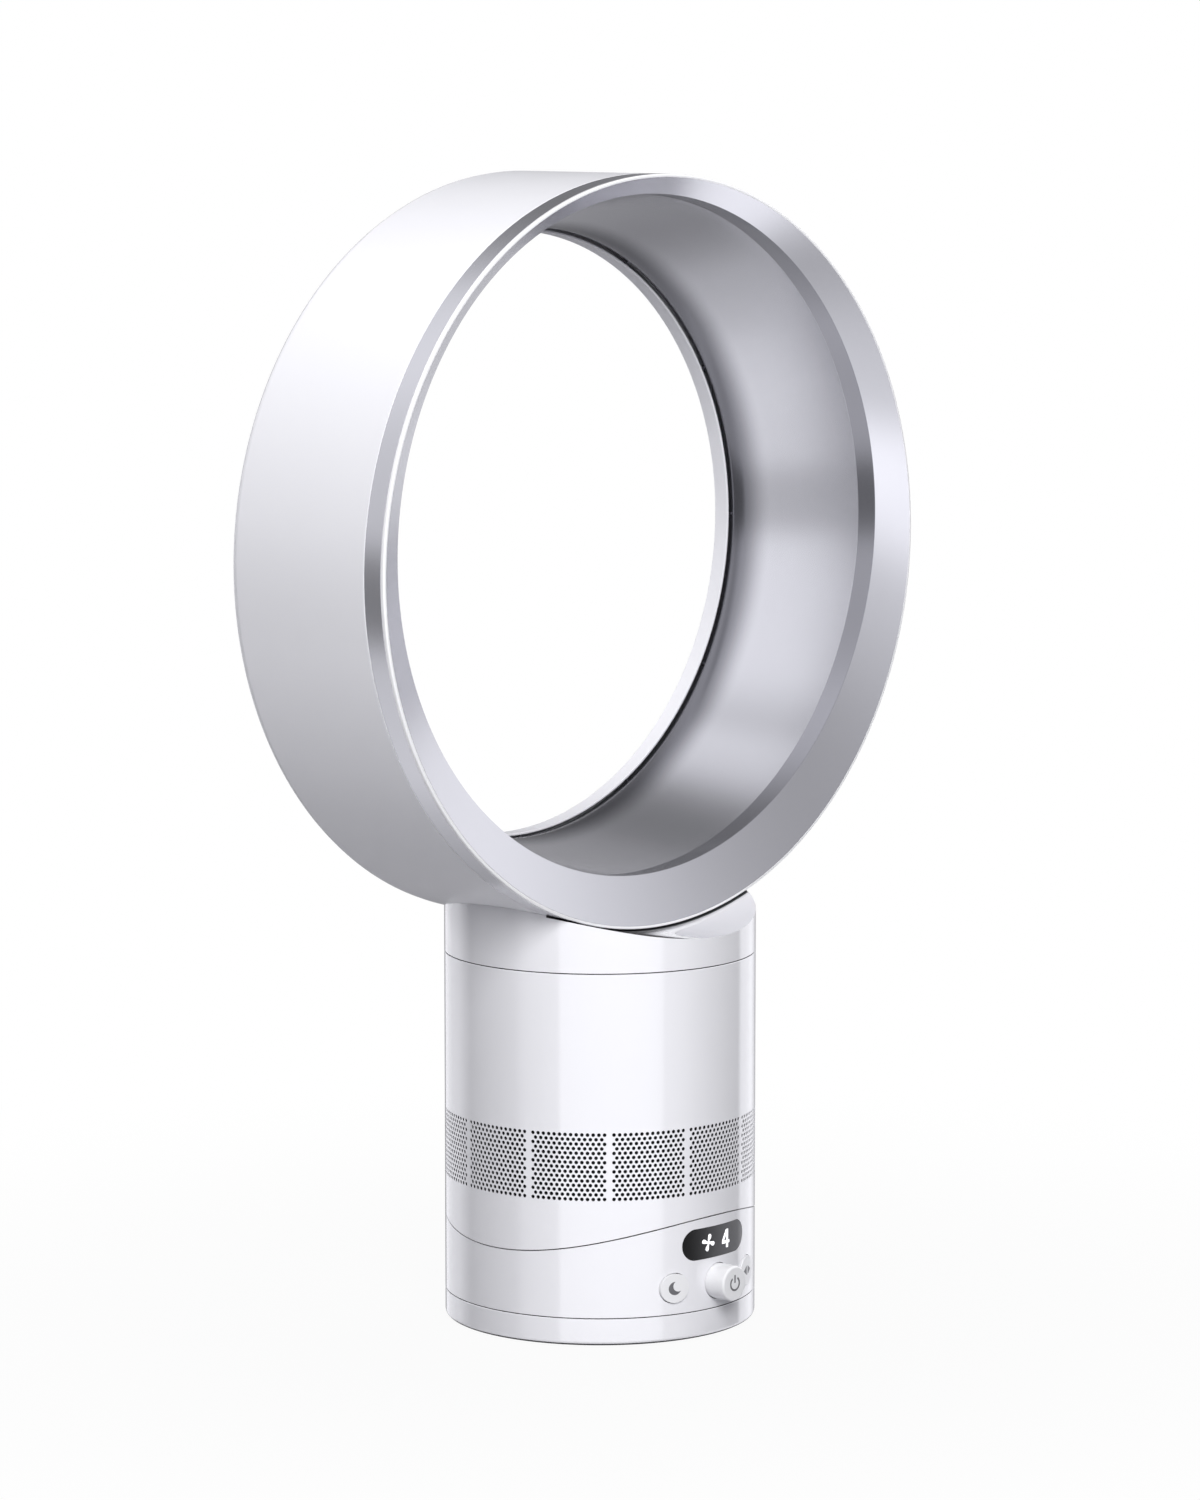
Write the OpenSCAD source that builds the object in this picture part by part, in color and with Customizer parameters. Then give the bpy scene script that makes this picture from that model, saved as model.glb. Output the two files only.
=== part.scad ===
// Bladeless desk fan: an oval air ring on a cylindrical stand.
// Millimetres. +Z is up, the fan blows towards -Y, and the origin is on the
// floor, on the axis of the stand.

/* [Stand] */
// Outside diameter of the stand
body_d = 145; // [143:1:149]
// Wall of the stand's shells
body_wall = 3; // [2.7:0.1:3.3]
// Width of each visible seam
seam = 0.5; // [0.4:0.1:0.7]

/* [Foot] */
// Height of the foot, up to its seam
foot_h = 13.6; // [13.2:0.1:14.4]
// How far the rubber pads hold the foot off the table
pad_proud = 0.8; // [0.6:0.1:1]
// Thickness of a rubber pad
pad_t = 1.6; // [1.4:0.1:1.8]
// Diameter of a rubber pad
pad_d = 12; // [10:1:14]
// Number of rubber pads
pad_count = 6; // [4:1:8]
// Rounding of the foot's lower edge
foot_round = 2.2; // [1.6:0.1:2.5]
// Thickness of the bottom plate
plate_t = 2.2; // [2:0.1:2.3]
// Thickness of the foot's deck
deck_t = 2.5; // [2.3:0.1:2.6]
// Radius of the hollow pivot that the stand turns on
hub_r = 15; // [14:0.5:16]
// Bore of the hollow pivot, for the leads
hub_bore_r = 11; // [10:0.5:12]
// Radius of the cord's hole in its gland
gland_bore_r = 2.8; // [2.6:0.1:3]

/* [Oscillation drive] */
// Teeth on a full circle of the fixed rack
rack_teeth = 80; // [76:2:82]
// Teeth of the pinion
pinion_teeth = 14; // [13:1:15]
// Height of the rack
rack_h = 5; // [4.6:0.1:5.2]
// Swing of the stand to each side, in degrees
swing_angle = 35; // [30:1:40]
// Height of the gear motor's can
gearmotor_h = 18; // [15:1:19]
// Distance from the can's middle to its shaft
gearmotor_offset = 8; // [7.5:0.5:8.5]

/* [Tilt saddle] */
// Height of the control casing at the lowest point of its saddle
casing_h = 28.75; // [28.5:0.05:29.5]
// Radius of the saddle that the upper body slides on
saddle_r = 193.4; // [190:0.1:200]
// Tilt to each side, in degrees
tilt_angle = 10; // [8:1:11]
// Half width of a runner along the saddle, in degrees
runner_angle = 6; // [5:0.5:6.5]
// Distance of each runner from the middle
runner_x = 28; // [26:1:30]
// Width of a runner's stem
runner_w = 5; // [4.5:0.5:6]

/* [Controls] */
// Width of the display window
display_w = 42.4; // [40:0.1:44]
// Height of the display window
display_h = 14.4; // [13:0.1:15]
// Height of the middle of the display window above the casing's lower edge
display_up = 30.85; // [30.2:0.05:31.2]
// Thickness of the display window
window_t = 2; // [1.6:0.1:2.1]
// Diameter of the power button
power_d = 16.4; // [15:0.1:17.4]
// How far the power button stands out of the casing
power_proud = 10.5; // [8:0.1:12]
// Height of the middle of the buttons above the casing's lower edge
button_up = 12.15; // [11.8:0.05:12.8]
// Diameter of the two side buttons
side_d = 13.6; // [12:0.1:14.2]
// Distance of each side button from the middle
side_x = 25.4; // [25:0.1:25.8]
// How far the side buttons stand out of the casing
side_proud = 0.9; // [0.6:0.1:1.4]
// Travel of the power button
power_travel = 1.2; // [0.8:0.1:1.2]
// Travel of the side buttons
side_travel = 0.8; // [0.5:0.1:0.8]

/* [Air inlet] */
// Height of the plain wall between the saddle's edge and the perforated band
skirt_h = 12.3; // [11.8:0.1:13.4]
// Height of the perforated band
grille_h = 30; // [28:0.5:30.5]
// Thickness of the perforated sheet
grille_t = 1.6; // [1.4:0.1:1.8]
// Panels round the band
grille_panels = 12; // [10:1:12]
// Width of the plain strip between two panels, in degrees
bar_angle = 3; // [2.5:0.5:4]
// Slots across one panel
grille_columns = 6; // [5:1:9]
// Rows of slots in one panel
grille_rows = 4; // [3:1:5]

/* [Impeller and motor] */
// Space round the air duct for its foam, from the stand's bore to the duct's inside
duct_inset = 9.5; // [9.5:0.1:11.5]
// Height of the straight duct above the bell
duct_h = 31; // [30:0.5:34]
// How far the throat below the impeller is narrower than the duct, on each side
throat_inset = 17; // [16:0.5:19]
// Wall of the duct
duct_wall = 2; // [1.8:0.1:2.2]
// Width of the air gap round the bucket that holds the motor
air_gap = 22; // [21:0.5:23]
// Radius of the motor housing
motor_r = 27; // [26:0.5:28]
// Height of the motor housing
motor_h = 25; // [24:0.5:26]
// Radius of the motor's shaft
shaft_r = 2.5; // [2.2:0.1:3]
// Blades of the impeller
impeller_blades = 9; // [7:1:11]
// Height of the impeller
impeller_h = 22; // [21:0.5:22.5]
// Guide vanes round the motor
guide_vanes_n = 11; // [9:1:13]

/* [Ring] */
// Outer half width of the ring
ring_r = 183.2; // [181:0.1:186]
// Height of the neck from its seam to the lowest point of the ring
neck_h = 14.2; // [13:0.1:16]
// Depth of the ring from front to back
ring_depth = 96; // [92:1:100]
// Distance of the ring's front plane in front of the stand's axis
ring_front = 38; // [37:0.5:39]
// Wall of the ring's outer casing
ring_wall = 2.5; // [2.2:0.1:2.8]
// Rounding of the ring's back edge
ring_round = 6; // [5:0.5:8]
// Width of the flared front rim on each side, without its pale trim
flare_w = 15.9; // [15:0.1:18]
// Depth of the flared front rim
flare_depth = 8.5; // [7.5:0.5:9.5]
// Rise of the flare's inner edge above the outline's middle
mouth_rise = 7.4; // [5:0.1:8]
// Length of the straight guide behind the flare
guide_len = 10.4; // [9:0.1:12]
// How far the waist, the narrowest part of the wall, stands inside the guide
waist_step = 14.5; // [13:0.1:15.5]
// Rise of the waist above the outline's middle
waist_rise = 4; // [3:0.1:5]
// Width of the slit that the air leaves by
slit_w = 1.3; // [1:0.1:1.6]
// Width of the silver band round the front of the ring
band_w = 12; // [10:0.5:14]
// Width of the pale trim at the front edge
trim_w = 1.6; // [1.2:0.1:1.9]

/* [Hidden] */
$fn = 96;
// Facets of the widest curves
wide_fn = 180;
// Facets of small round pieces
small_fn = 32;

// Colours
white = [0.93, 0.93, 0.95];
silver = [0.66, 0.65, 0.68];
black = [0.06, 0.06, 0.07];
rubber = [0.16, 0.16, 0.17];
steel = [0.6, 0.61, 0.63];
board_green = [0.1, 0.32, 0.18];
copper = [0.72, 0.42, 0.22];
foam_grey = [0.25, 0.25, 0.27];
acetal = [0.85, 0.84, 0.8];

// Overrun of every cutter
cut = 1;
// Play between pieces that are fixed to each other
snug = 0.1;
// Play between pieces that move past each other
play = 0.3;
// Play of a shaft in its bearing
run = 0.05;
// Full turn and the angle between four like places
turn = 360;
quarter = turn / 4;

body_r = body_d / 2;
bore_r = body_r - body_wall;

// Screws: shank and head radii, head height, and the small size
screw_r = 1.4;
head_r = 2.7;
head_h = 1.7;
small_screw_r = 1.1;
small_head_r = 2.1;
small_head_h = 1.3;

// Foot, from the table up
foot_z = pad_proud;
foot_top = foot_h - seam / 2;
table_z = foot_h + seam / 2;

// Heights of the control casing, its saddle and what sits in it
saddle_z = table_z + casing_h;
tilt_axis_z = saddle_z + saddle_r;
saddle_edge_z = tilt_axis_z - sqrt(saddle_r * saddle_r - body_r * body_r);
display_z = table_z + display_up;
button_z = table_z + button_up;
grille_z = saddle_edge_z + skirt_h;

// Foot, inside
plate_top = foot_z + plate_t;
rib_h = 1.4;
deck_z = plate_top + rib_h;
deck_top = deck_z + deck_t;
slide_t = 1.2;
rail_top = table_z - slide_t;
rail_w = 5;
rail_inset = 4.5;
rail_r = bore_r - rail_inset;
rail_mid_r = rail_r - rail_w / 2;
pad_ring_inset = 17.5;
pad_ring_r = bore_r - pad_ring_inset;
foot_screw_n = 4;
foot_screw_l = 8;
foot_screw_angle = quarter / 2;

// Cord inlet at the back of the foot
gland_z = 7.7;
gland_wall = 0.8;
gland_neck_r = gland_bore_r + gland_wall;
gland_flange_r = 4.5;
gland_flange_t = 1.2;
channel_w = 9.4;
channel_top = gland_z + channel_w / 2;
gland_seat = 0.4;

// Turntable and its pivot
table_t = 2.5;
table_top = table_z + table_t;
table_r = bore_r - snug;
clip_t = 1.2;
clip_z = table_top + snug;
clip_depth = 0.8;
clip_over = 3.5;
clip_angle = 50;
hub_top = clip_z + 2 * clip_t;

// Gears
pressure_angle = 20;
rack_rim = 5.6;
rack_gap = 3.025;
gear_module = (rail_r - rail_w - rack_gap - rack_rim) / (rack_teeth / 2 + 1.1);
addendum = 0.8 * gear_module;
dedendum = 1.1 * gear_module;
backlash = 0.12;
rack_pitch_r = gear_module * rack_teeth / 2;
pinion_pitch_r = gear_module * pinion_teeth / 2;
drive_x = rack_pitch_r - pinion_pitch_r;
rack_out_r = rack_pitch_r + dedendum + rack_rim;
rack_spare_angle = 12;
rack_angle = swing_angle + rack_spare_angle;
rack_top = deck_top + rack_h;
rack_screw_r = rack_out_r - rack_rim / 2;
rack_screw_angle = 0.85 * rack_angle;
pinion_lift = 0.6;
pinion_z = deck_top + pinion_lift;
pinion_h = rack_h - pinion_lift;
pinion_shaft_r = 2.5;
pinion_shaft_in = 6;
flank_steps = 4;

// Stops of the swing
stop_w = 5;
stop_gap = 5;
stop_r = rail_r - rail_w - stop_w - stop_gap;
stop_lift = 1;
stop_angle = atan(stop_w / 2 / stop_r);
stop_spare_angle = 0.8;
stop_turn_angle = swing_angle + 2 * stop_angle + stop_spare_angle;

// Gear motor
gearmotor_x = drive_x - gearmotor_offset;
can_gap = 0.75;
gearmotor_d = 2 * (gearmotor_x - hub_r - clip_over - can_gap);
ear_t = 0.8;
ear_w = 7;
ear_reach = gearmotor_d / 2 + ear_w / 2;

// Saddle, from the tilt axis outwards
shoe_r = saddle_r - seam;
shoe_t = 3;
saddle_under_r = saddle_r + body_wall;
runner_head_w = 14;
runner_head_t = 2.5;
runner_head_r = saddle_under_r + play;
slot_spare_angle = 0.8;
slot_angle = runner_angle + tilt_angle + slot_spare_angle;
lead_slot_w = 16;
lead_slot_angle = 12;
lead_hole_r = 6;
boss_r = 3.5;
case_boss_inset = 11.5;
case_boss_r = bore_r - case_boss_inset;
case_screw_l = 10;
shoe_boss_inset = 2.6;
shoe_boss_r = bore_r - shoe_boss_inset;
shoe_boss_y = shoe_boss_r * sin(quarter / 2);
shoe_seat = 1.2;
shoe_pad_over = 2;
shoe_head_z = tilt_axis_z - sqrt(shoe_r * shoe_r - shoe_boss_y * shoe_boss_y) + shoe_seat;
shoe_pad_top = shoe_head_z + head_h + shoe_pad_over;
shoe_screw_l = 10;
runner_screw_l = 4.5;

// Control panel
window_ledge = 1.4;
board_t = 1.5;
panel_inset = 8;
panel_y = -(bore_r - panel_inset);
side_flange_t = 1;
side_back = play + side_flange_t;
panel_side = 2.5;
panel_half_w = sqrt(pow(bore_r - side_back, 2) - pow(panel_y, 2)) - panel_side;
panel_clear = 0.6;
panel_z = table_top + panel_clear;
panel_back_y = panel_y + board_t;
panel_top = tilt_axis_z - sqrt(saddle_under_r * saddle_under_r - panel_back_y * panel_back_y)
    - panel_clear;
module_w = 24;
module_h = 7;
module_depth = 5.4;
module_z = panel_top - module_h / 2 - play;
receiver_w = 4.5;
receiver_h = 5.5;
receiver_x = -18;
flange_t = 1.2;
flange_over = 1;
power_flange_y = -(bore_r - 1.2 * flange_t);
key_w = 6;
key_h = 3.5;
key_stem_r = 1.75;
key_stem_y = power_flange_y + flange_t + power_travel + play;
side_key_w = 4;
side_key_x = 20.5;
side_key_y = -sqrt(pow(bore_r - side_back, 2) - pow(side_key_x + side_key_w / 2, 2)) + side_travel + play;
post_w = 6;
post_t = 2.4;
post_x = 14;
post_h = 14;

// Main board and what it carries
main_lift = 5.6;
main_z = table_top + main_lift;
main_l = 32;
main_back = 13.5;
main_side = 34.5;
main_y = bore_r - main_back - main_l;
main_w = 2 * (bore_r - main_side);
main_post_r = 2.5;
main_post_edge = 4;
comp_h = 12;
ribbon_w = 12;
ribbon_t = 0.4;
ribbon_z = main_z + board_t;

// Inlet band
grille_top = grille_z + grille_h;
grille_r = body_r - grille_t;
window_margin = 1.5;
panel_angle = turn / grille_panels;
panel_span_angle = panel_angle - bar_angle;
slot_share = 0.62;
slot_edge = 1.2;

// Impeller, motor and duct, from the ledge above the inlet up
ledge_t = 3;
ledge_w = 4.5;
ledge_gap = 2;
ledge_z = grille_top + ledge_gap;
ledge_top = ledge_z + ledge_t;
seal_t = 1.5;
shroud_z = ledge_top + seal_t;
flange_plate = 2;
mouth_lip = 3;
mouth_h = 4;
throat_z = shroud_z + mouth_h;
throat_len = 2.5;
impeller_z = throat_z;
impeller_top = impeller_z + impeller_h;
bell_over = 2.5;
bell_top = impeller_top + bell_over;
collar_h = 7.75;
shroud_top = bell_top + duct_h;
collar_top = shroud_top + collar_h;
neck_seam_z = collar_top + seam / 2;
duct_r = bore_r - duct_inset;
throat_r = duct_r - throat_inset;
bucket_r = duct_r - air_gap;
duct_out_r = duct_r + duct_wall;
blade_gap = 0.8;
blade_t = 1.6;
blade_angle = 50;
nose_r = 12;
hub_wall = 2.5;
hub_boss_r = 7;
bucket_lift = 1;
bucket_floor = impeller_top + bucket_lift;
bucket_wall = 2;
mount_t = 2;
motor_z = bucket_floor + bucket_wall + mount_t;
motor_top = motor_z + motor_h;
cap_z = motor_top + mount_t;
cap_h = 12;
cap_r = 20;
motor_wall = 2;
motor_end = 3.5;
bearing_r = 8;
bearing_t = 3.3;
magnet_r = 12;
rotor_gap = 0.5;
pole_n = 6;
pole_w = 4.5;
yoke_t = 4;
stator_h = 12;
stator_z = motor_z + motor_h / 2 - stator_h / 2;
winding_t = 1.6;
winding_w = 5.6;
vane_sleeve = 1.8;
vane_angle = -32;
bell_step = 2;
vane_z = bell_top + bell_step;
vane_h = 20;
foam_gap = 0.3;
base_foam_inset = 15.5;
base_foam_r = bore_r - base_foam_inset;
base_foam_drop = 3;
base_foam_top = grille_z - base_foam_drop;
foam_hole_r = 8;
duct_foam_z = bell_top + bell_step;

// Neck joint
spigot_step = 1.7;
spigot_out_r = duct_r + spigot_step;
spigot_wall = 3.2;
neck_seal_t = 1.5;
spigot_z = shroud_top + neck_seal_t;
neck_z = neck_seam_z + seam / 2;
neck_floor = 2.5;
lug_lift = 0.6;
lug_z = spigot_z + lug_lift;
lug_h = 2.6;
lug_out = 2.3;
lug_n = 3;
lug_angle = 11;
lug_turn_angle = 40;
collar_screw_inset = 2.8;
collar_screw_r = bore_r - collar_screw_inset;
collar_screw_l = 9.5;

// Ring, as places along Y and its profile sizes
oval = 0.942;
ring_z = neck_seam_z + neck_h + ring_r * oval;
front_y = -ring_front;
back_y = front_y + ring_depth;
mouth_y = front_y + flare_depth;
guide_y = mouth_y + guide_len;
band_y = front_y + band_w;
trim_y = front_y + 1.25 * trim_w;
trim_r = ring_r - trim_w;
mouth_r = trim_r - flare_w;
waist_r = mouth_r - waist_step;
ring_in_r = ring_r - ring_wall;
inner_wall = 2;
coanda_r = 19.5;
waist_depth = 14;
waist_y = back_y - waist_depth;
lip_wall = 1.2;
lip_len = 8;
lip_y = back_y - lip_len;
lip_out_r = waist_r + coanda_r - sqrt(coanda_r * coanda_r - pow(lip_y - waist_y, 2)) - slit_w;
lip_in_r = lip_out_r - lip_wall;
tail_depth = 5;
tail_y = back_y - tail_depth;
cone_angle = atan((mouth_r - waist_r) / (waist_y - guide_y));
rise_rate = (waist_rise - mouth_rise) / (waist_y - mouth_y);
lip_rise = mouth_rise + rise_rate * (lip_y - mouth_y);
flare_rate = mouth_rise / flare_depth;
flare_wall = 2.4;
flare_relief = 3;
flare_edge = 2.5;
flare_edge_in = 3.8;
shoulder_angle = 5;
port_half_x = 50;
port_inset = 14;
port_wall = 3;
port_r = bore_r - port_wall;
rib_n = 8;
rib_t = 2;
rib_start = 8;
rib_y = guide_y + rib_start;
rib_len = 36;
spacer_n = 12;
spacer_t = 1.2;
spacer_len = 2.5;

module tube(r_out, r_in, z, h) {
    difference() {
        translate([0, 0, z])
            cylinder(r = r_out, h = h);
        translate([0, 0, z - cut])
            cylinder(r = r_in, h = h + 2 * cut);
    }
}

module rod(r, z, h) {
    translate([0, 0, z])
        cylinder(r = r, h = h);
}

module small_rod(r, z, h) {
    translate([0, 0, z])
        cylinder(r = r, h = h, $fn = small_fn);
}

// Copies of a piece at n places on a circle of radius r
module around(n, r, first = 0) {
    for (i = [0 : n - 1])
        rotate([0, 0, first + i * turn / n])
            translate([r, 0, 0])
                children();
}

// A bar along Y between two places
module y_rod(r, x, z, y0, y1) {
    translate([x, y0, z])
        rotate([-quarter, 0, 0])
            cylinder(r = r, h = y1 - y0);
}

// A wedge of the circle, wider than any piece, between two angles
module sector(from, to, r, z, h) {
    rotate([0, 0, from])
        rotate_extrude(angle = to - from)
            translate([0, z])
                square([r, h]);
}

// A countersunk screw pointing up, its head's face at z
module screw_up(z, l, r, hr, hh) {
    translate([0, 0, z])
        cylinder(r1 = hr, r2 = r, h = hh, $fn = small_fn);
    small_rod(r, z, l);
}

module screw_down(z, l, r, hr, hh) {
    translate([0, 0, z])
        mirror([0, 0, 1])
            screw_up(0, l, r, hr, hh);
}

// The drum that turns about the tilt axis
module tilt_drum(r) {
    translate([-body_d, 0, tilt_axis_z])
        rotate([0, quarter, 0])
            cylinder(r = r, h = 2 * body_d, $fn = wide_fn);
}

// A strip that follows the saddle, r0 to r1 from the tilt axis
module tilt_arc(r0, r1, x, w, half) {
    translate([x, 0, tilt_axis_z])
        rotate([0, quarter, 0])
            rotate([0, 0, -half])
                rotate_extrude(angle = 2 * half, $fn = wide_fn)
                    translate([r0, -w / 2])
                        square([r1 - r0, w]);
}

// Foot

module foot_wall() {
    rotate_extrude() {
        translate([bore_r, foot_z + foot_round])
            square([body_wall, foot_top - foot_z - foot_round]);
        translate([bore_r, foot_z])
            square([body_wall - foot_round, 2 * foot_round]);
        intersection() {
            translate([body_r - foot_round, foot_z + foot_round])
                circle(r = foot_round, $fn = small_fn);
            translate([bore_r, foot_z])
                square([body_wall, 2 * foot_round]);
        }
    }
}

module foot_screw_set() {
    around(foot_screw_n, rail_mid_r, foot_screw_angle)
        screw_up(foot_z + snug, foot_screw_l, screw_r, head_r, head_h);
}

module rack_screw_set() {
    for (i = [-1 : 1])
        rotate([0, 0, i * rack_screw_angle])
            translate([rack_screw_r, 0, 0])
                screw_down(rack_top, rack_top - deck_z - snug, small_screw_r, small_head_r, small_head_h);
}

module stop_block(z, h) {
    translate([stop_r, -stop_w / 2, z])
        cube([stop_w, stop_w, h]);
}

module foot_shell() {
    color(white)
        difference() {
            union() {
                foot_wall();
                rod(bore_r + body_wall / 2, deck_z, deck_t);
                tube(rail_r, rail_r - rail_w, plate_top, rail_top - plate_top);
                rod(hub_r, deck_z, hub_top - deck_z);
                for (s = [-1, 1])
                    rotate([0, 0, turn / 2 + s * stop_turn_angle])
                        stop_block(deck_top - snug, table_z - stop_lift - deck_top);
            }
            rod(hub_bore_r, 0, hub_top + cut);
            tube(hub_r + cut, hub_r - clip_depth, clip_z, clip_t);
            translate([-channel_w / 2, 0, plate_top])
                cube([channel_w, bore_r, channel_top - plate_top]);
            y_rod(gland_neck_r, 0, gland_z, bore_r - cut, body_r + cut);
            foot_screw_set();
            rack_screw_set();
        }
}

module base_plate() {
    color(white)
        difference() {
            rod(bore_r - snug, foot_z, plate_t);
            around(pad_count, pad_ring_r)
                rod(pad_d / 2, 0, pad_t);
            foot_screw_set();
            around(foot_screw_n, rail_mid_r, foot_screw_angle)
                rod(head_r, 0, foot_z + snug);
            rod(hub_bore_r, 0, foot_z + plate_t / 4);
        }
}

module foot_pads() {
    color(rubber)
        around(pad_count, pad_ring_r)
            rod(pad_d / 2, 0, pad_t);
}

module foot_screws() {
    color(steel)
        foot_screw_set();
}

module cord_gland() {
    color(rubber)
        difference() {
            union() {
                y_rod(gland_neck_r, 0, gland_z, bore_r - gland_seat - gland_flange_t,
                    body_r + gland_flange_t);
                y_rod(gland_flange_r, 0, gland_z, body_r, body_r + gland_flange_t);
                y_rod(gland_flange_r, 0, gland_z, bore_r - gland_seat - gland_flange_t,
                    bore_r - gland_seat);
            }
            y_rod(gland_bore_r, 0, gland_z, bore_r - gland_seat - gland_flange_t - cut,
                body_r + gland_flange_t + cut);
        }
}

// Gear teeth: half the angle of an involute tooth of n teeth at radius r
function unwind(a) = tan(a) - a * PI / 180;
function tooth_half(n, r) =
    let (base = gear_module * n / 2 * cos(pressure_angle))
    (PI / 2 / n + unwind(pressure_angle) - unwind(acos(min(1, base / max(r, base))))) * 180 / PI;

// Outline of one tooth between radii r0 and r1, widened by extra
function tooth(n, r0, r1, extra) = concat(
    [for (i = [0 : flank_steps])
        let (r = r0 + (r1 - r0) * i / flank_steps, a = tooth_half(n, r) + asin(extra / 2 / r))
        [r * cos(a), r * sin(a)]],
    [for (i = [flank_steps : -1 : 0])
        let (r = r0 + (r1 - r0) * i / flank_steps, a = tooth_half(n, r) + asin(extra / 2 / r))
        [r * cos(a), -r * sin(a)]]
);

module drive_rack() {
    tip_r = rack_pitch_r - addendum;
    color(acetal)
        difference() {
            intersection() {
                tube(rack_out_r, tip_r, deck_top, rack_h);
                sector(-rack_angle, rack_angle, body_r, deck_top - cut, rack_h + 2 * cut);
            }
            for (i = [-ceil(rack_angle * rack_teeth / turn) : ceil(rack_angle * rack_teeth / turn)])
                rotate([0, 0, i * turn / rack_teeth])
                    translate([0, 0, deck_top - cut])
                        linear_extrude(rack_h + 2 * cut)
                            polygon(tooth(rack_teeth, tip_r - cut / 2, rack_pitch_r + dedendum,
                                backlash));
            rack_screw_set();
        }
}

module rack_screws() {
    color(steel)
        rack_screw_set();
}

module slide_ring() {
    color(acetal)
        tube(rail_r - snug, rail_r - rail_w + snug, rail_top, slide_t);
}

module pivot_clip() {
    color(steel)
        difference() {
            tube(hub_r + clip_over, hub_r - clip_depth, clip_z, clip_t);
            sector(quarter - clip_angle / 2, quarter + clip_angle / 2, body_r, clip_z - cut,
                clip_t + 2 * cut);
        }
}

// Turntable and oscillation drive

module case_screw_set() {
    around(4, case_boss_r, quarter / 2)
        screw_up(table_z, case_screw_l, screw_r, head_r, head_h);
}

module ear_places() {
    for (s = [-1, 1])
        translate([gearmotor_x, s * ear_reach, 0])
            children();
}

module main_posts() {
    for (sx = [-1, 1], sy = [0, 1])
        translate([sx * (main_w / 2 - main_post_edge),
            main_y + main_post_edge + sy * (main_l - 2 * main_post_edge), 0])
            children();
}

module panel_posts() {
    for (s = [-1, 1])
        translate([s * post_x, panel_back_y, 0])
            children();
}

module board_screw_set() {
    main_posts()
        screw_down(main_z + board_t, board_t + 4 * small_screw_r, small_screw_r, small_head_r,
            small_head_h);
    panel_posts()
        translate([0, -board_t, panel_z + post_h / 2])
            rotate([-quarter, 0, 0])
                screw_up(0, board_t + post_t, small_screw_r, small_head_r, small_head_h);
}

module turntable() {
    color(acetal)
        difference() {
            union() {
                rod(table_r, table_z, table_t);
                rotate([0, 0, turn / 2])
                    stop_block(deck_top + stop_lift, table_z + snug - deck_top - stop_lift);
                main_posts()
                    small_rod(main_post_r, table_top - snug, main_z - table_top + snug);
                panel_posts()
                    translate([-post_w / 2, 0, table_top - snug])
                        cube([post_w, post_t, post_h + snug]);
            }
            rod(hub_r + run, table_z - cut, table_t + 2 * cut);
            translate([drive_x, 0, 0])
                small_rod(pinion_shaft_r + play, table_z - cut, table_t + 2 * cut);
            case_screw_set();
            board_screw_set();
            ear_places()
                small_rod(small_screw_r, table_z + seam, table_t);
        }
}

module gear_motor() {
    color(steel)
        difference() {
            union() {
                translate([gearmotor_x, 0, 0])
                    rod(gearmotor_d / 2, table_top, gearmotor_h);
                motor_ears();
            }
            ear_places()
                small_rod(small_screw_r, table_top - cut, gearmotor_h);
            translate([drive_x, 0, 0])
                small_rod(pinion_shaft_r + run, table_top - cut, pinion_shaft_in + cut + play);
        }
}

module motor_ears() {
    translate([gearmotor_x - ear_w / 2, -ear_reach, table_top])
        cube([ear_w, 2 * ear_reach, ear_t]);
    ear_places()
        small_rod(ear_w / 2, table_top, ear_t);
}

module gear_motor_screws() {
    color(steel)
        ear_places()
            screw_down(table_top + ear_t + small_head_h, table_t + ear_t + small_head_h - seam,
                small_screw_r, small_head_r, small_head_h);
}

module pinion() {
    root_r = pinion_pitch_r - dedendum;
    color(acetal)
        translate([drive_x, 0, 0])
            difference() {
                union() {
                    rod(root_r, pinion_z, pinion_h);
                    for (i = [0 : pinion_teeth - 1])
                        rotate([0, 0, i * turn / pinion_teeth])
                            translate([0, 0, pinion_z])
                                linear_extrude(pinion_h)
                                    polygon(tooth(pinion_teeth, root_r - cut / 2,
                                        pinion_pitch_r + addendum, -backlash));
                }
                small_rod(pinion_shaft_r, pinion_z - cut, pinion_h + 2 * cut);
            }
}

module pinion_shaft() {
    color(steel)
        translate([drive_x, 0, 0])
            small_rod(pinion_shaft_r, pinion_z, table_top + pinion_shaft_in - pinion_z);
}

// Control casing and what it carries

module pill(w, h, y0, y1) {
    for (s = [-1, 1])
        y_rod(h / 2, s * (w - h) / 2, display_z, y0, y1);
    translate([-(w - h) / 2, y0, display_z - h / 2])
        cube([w - h, y1 - y0, h]);
}

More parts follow.
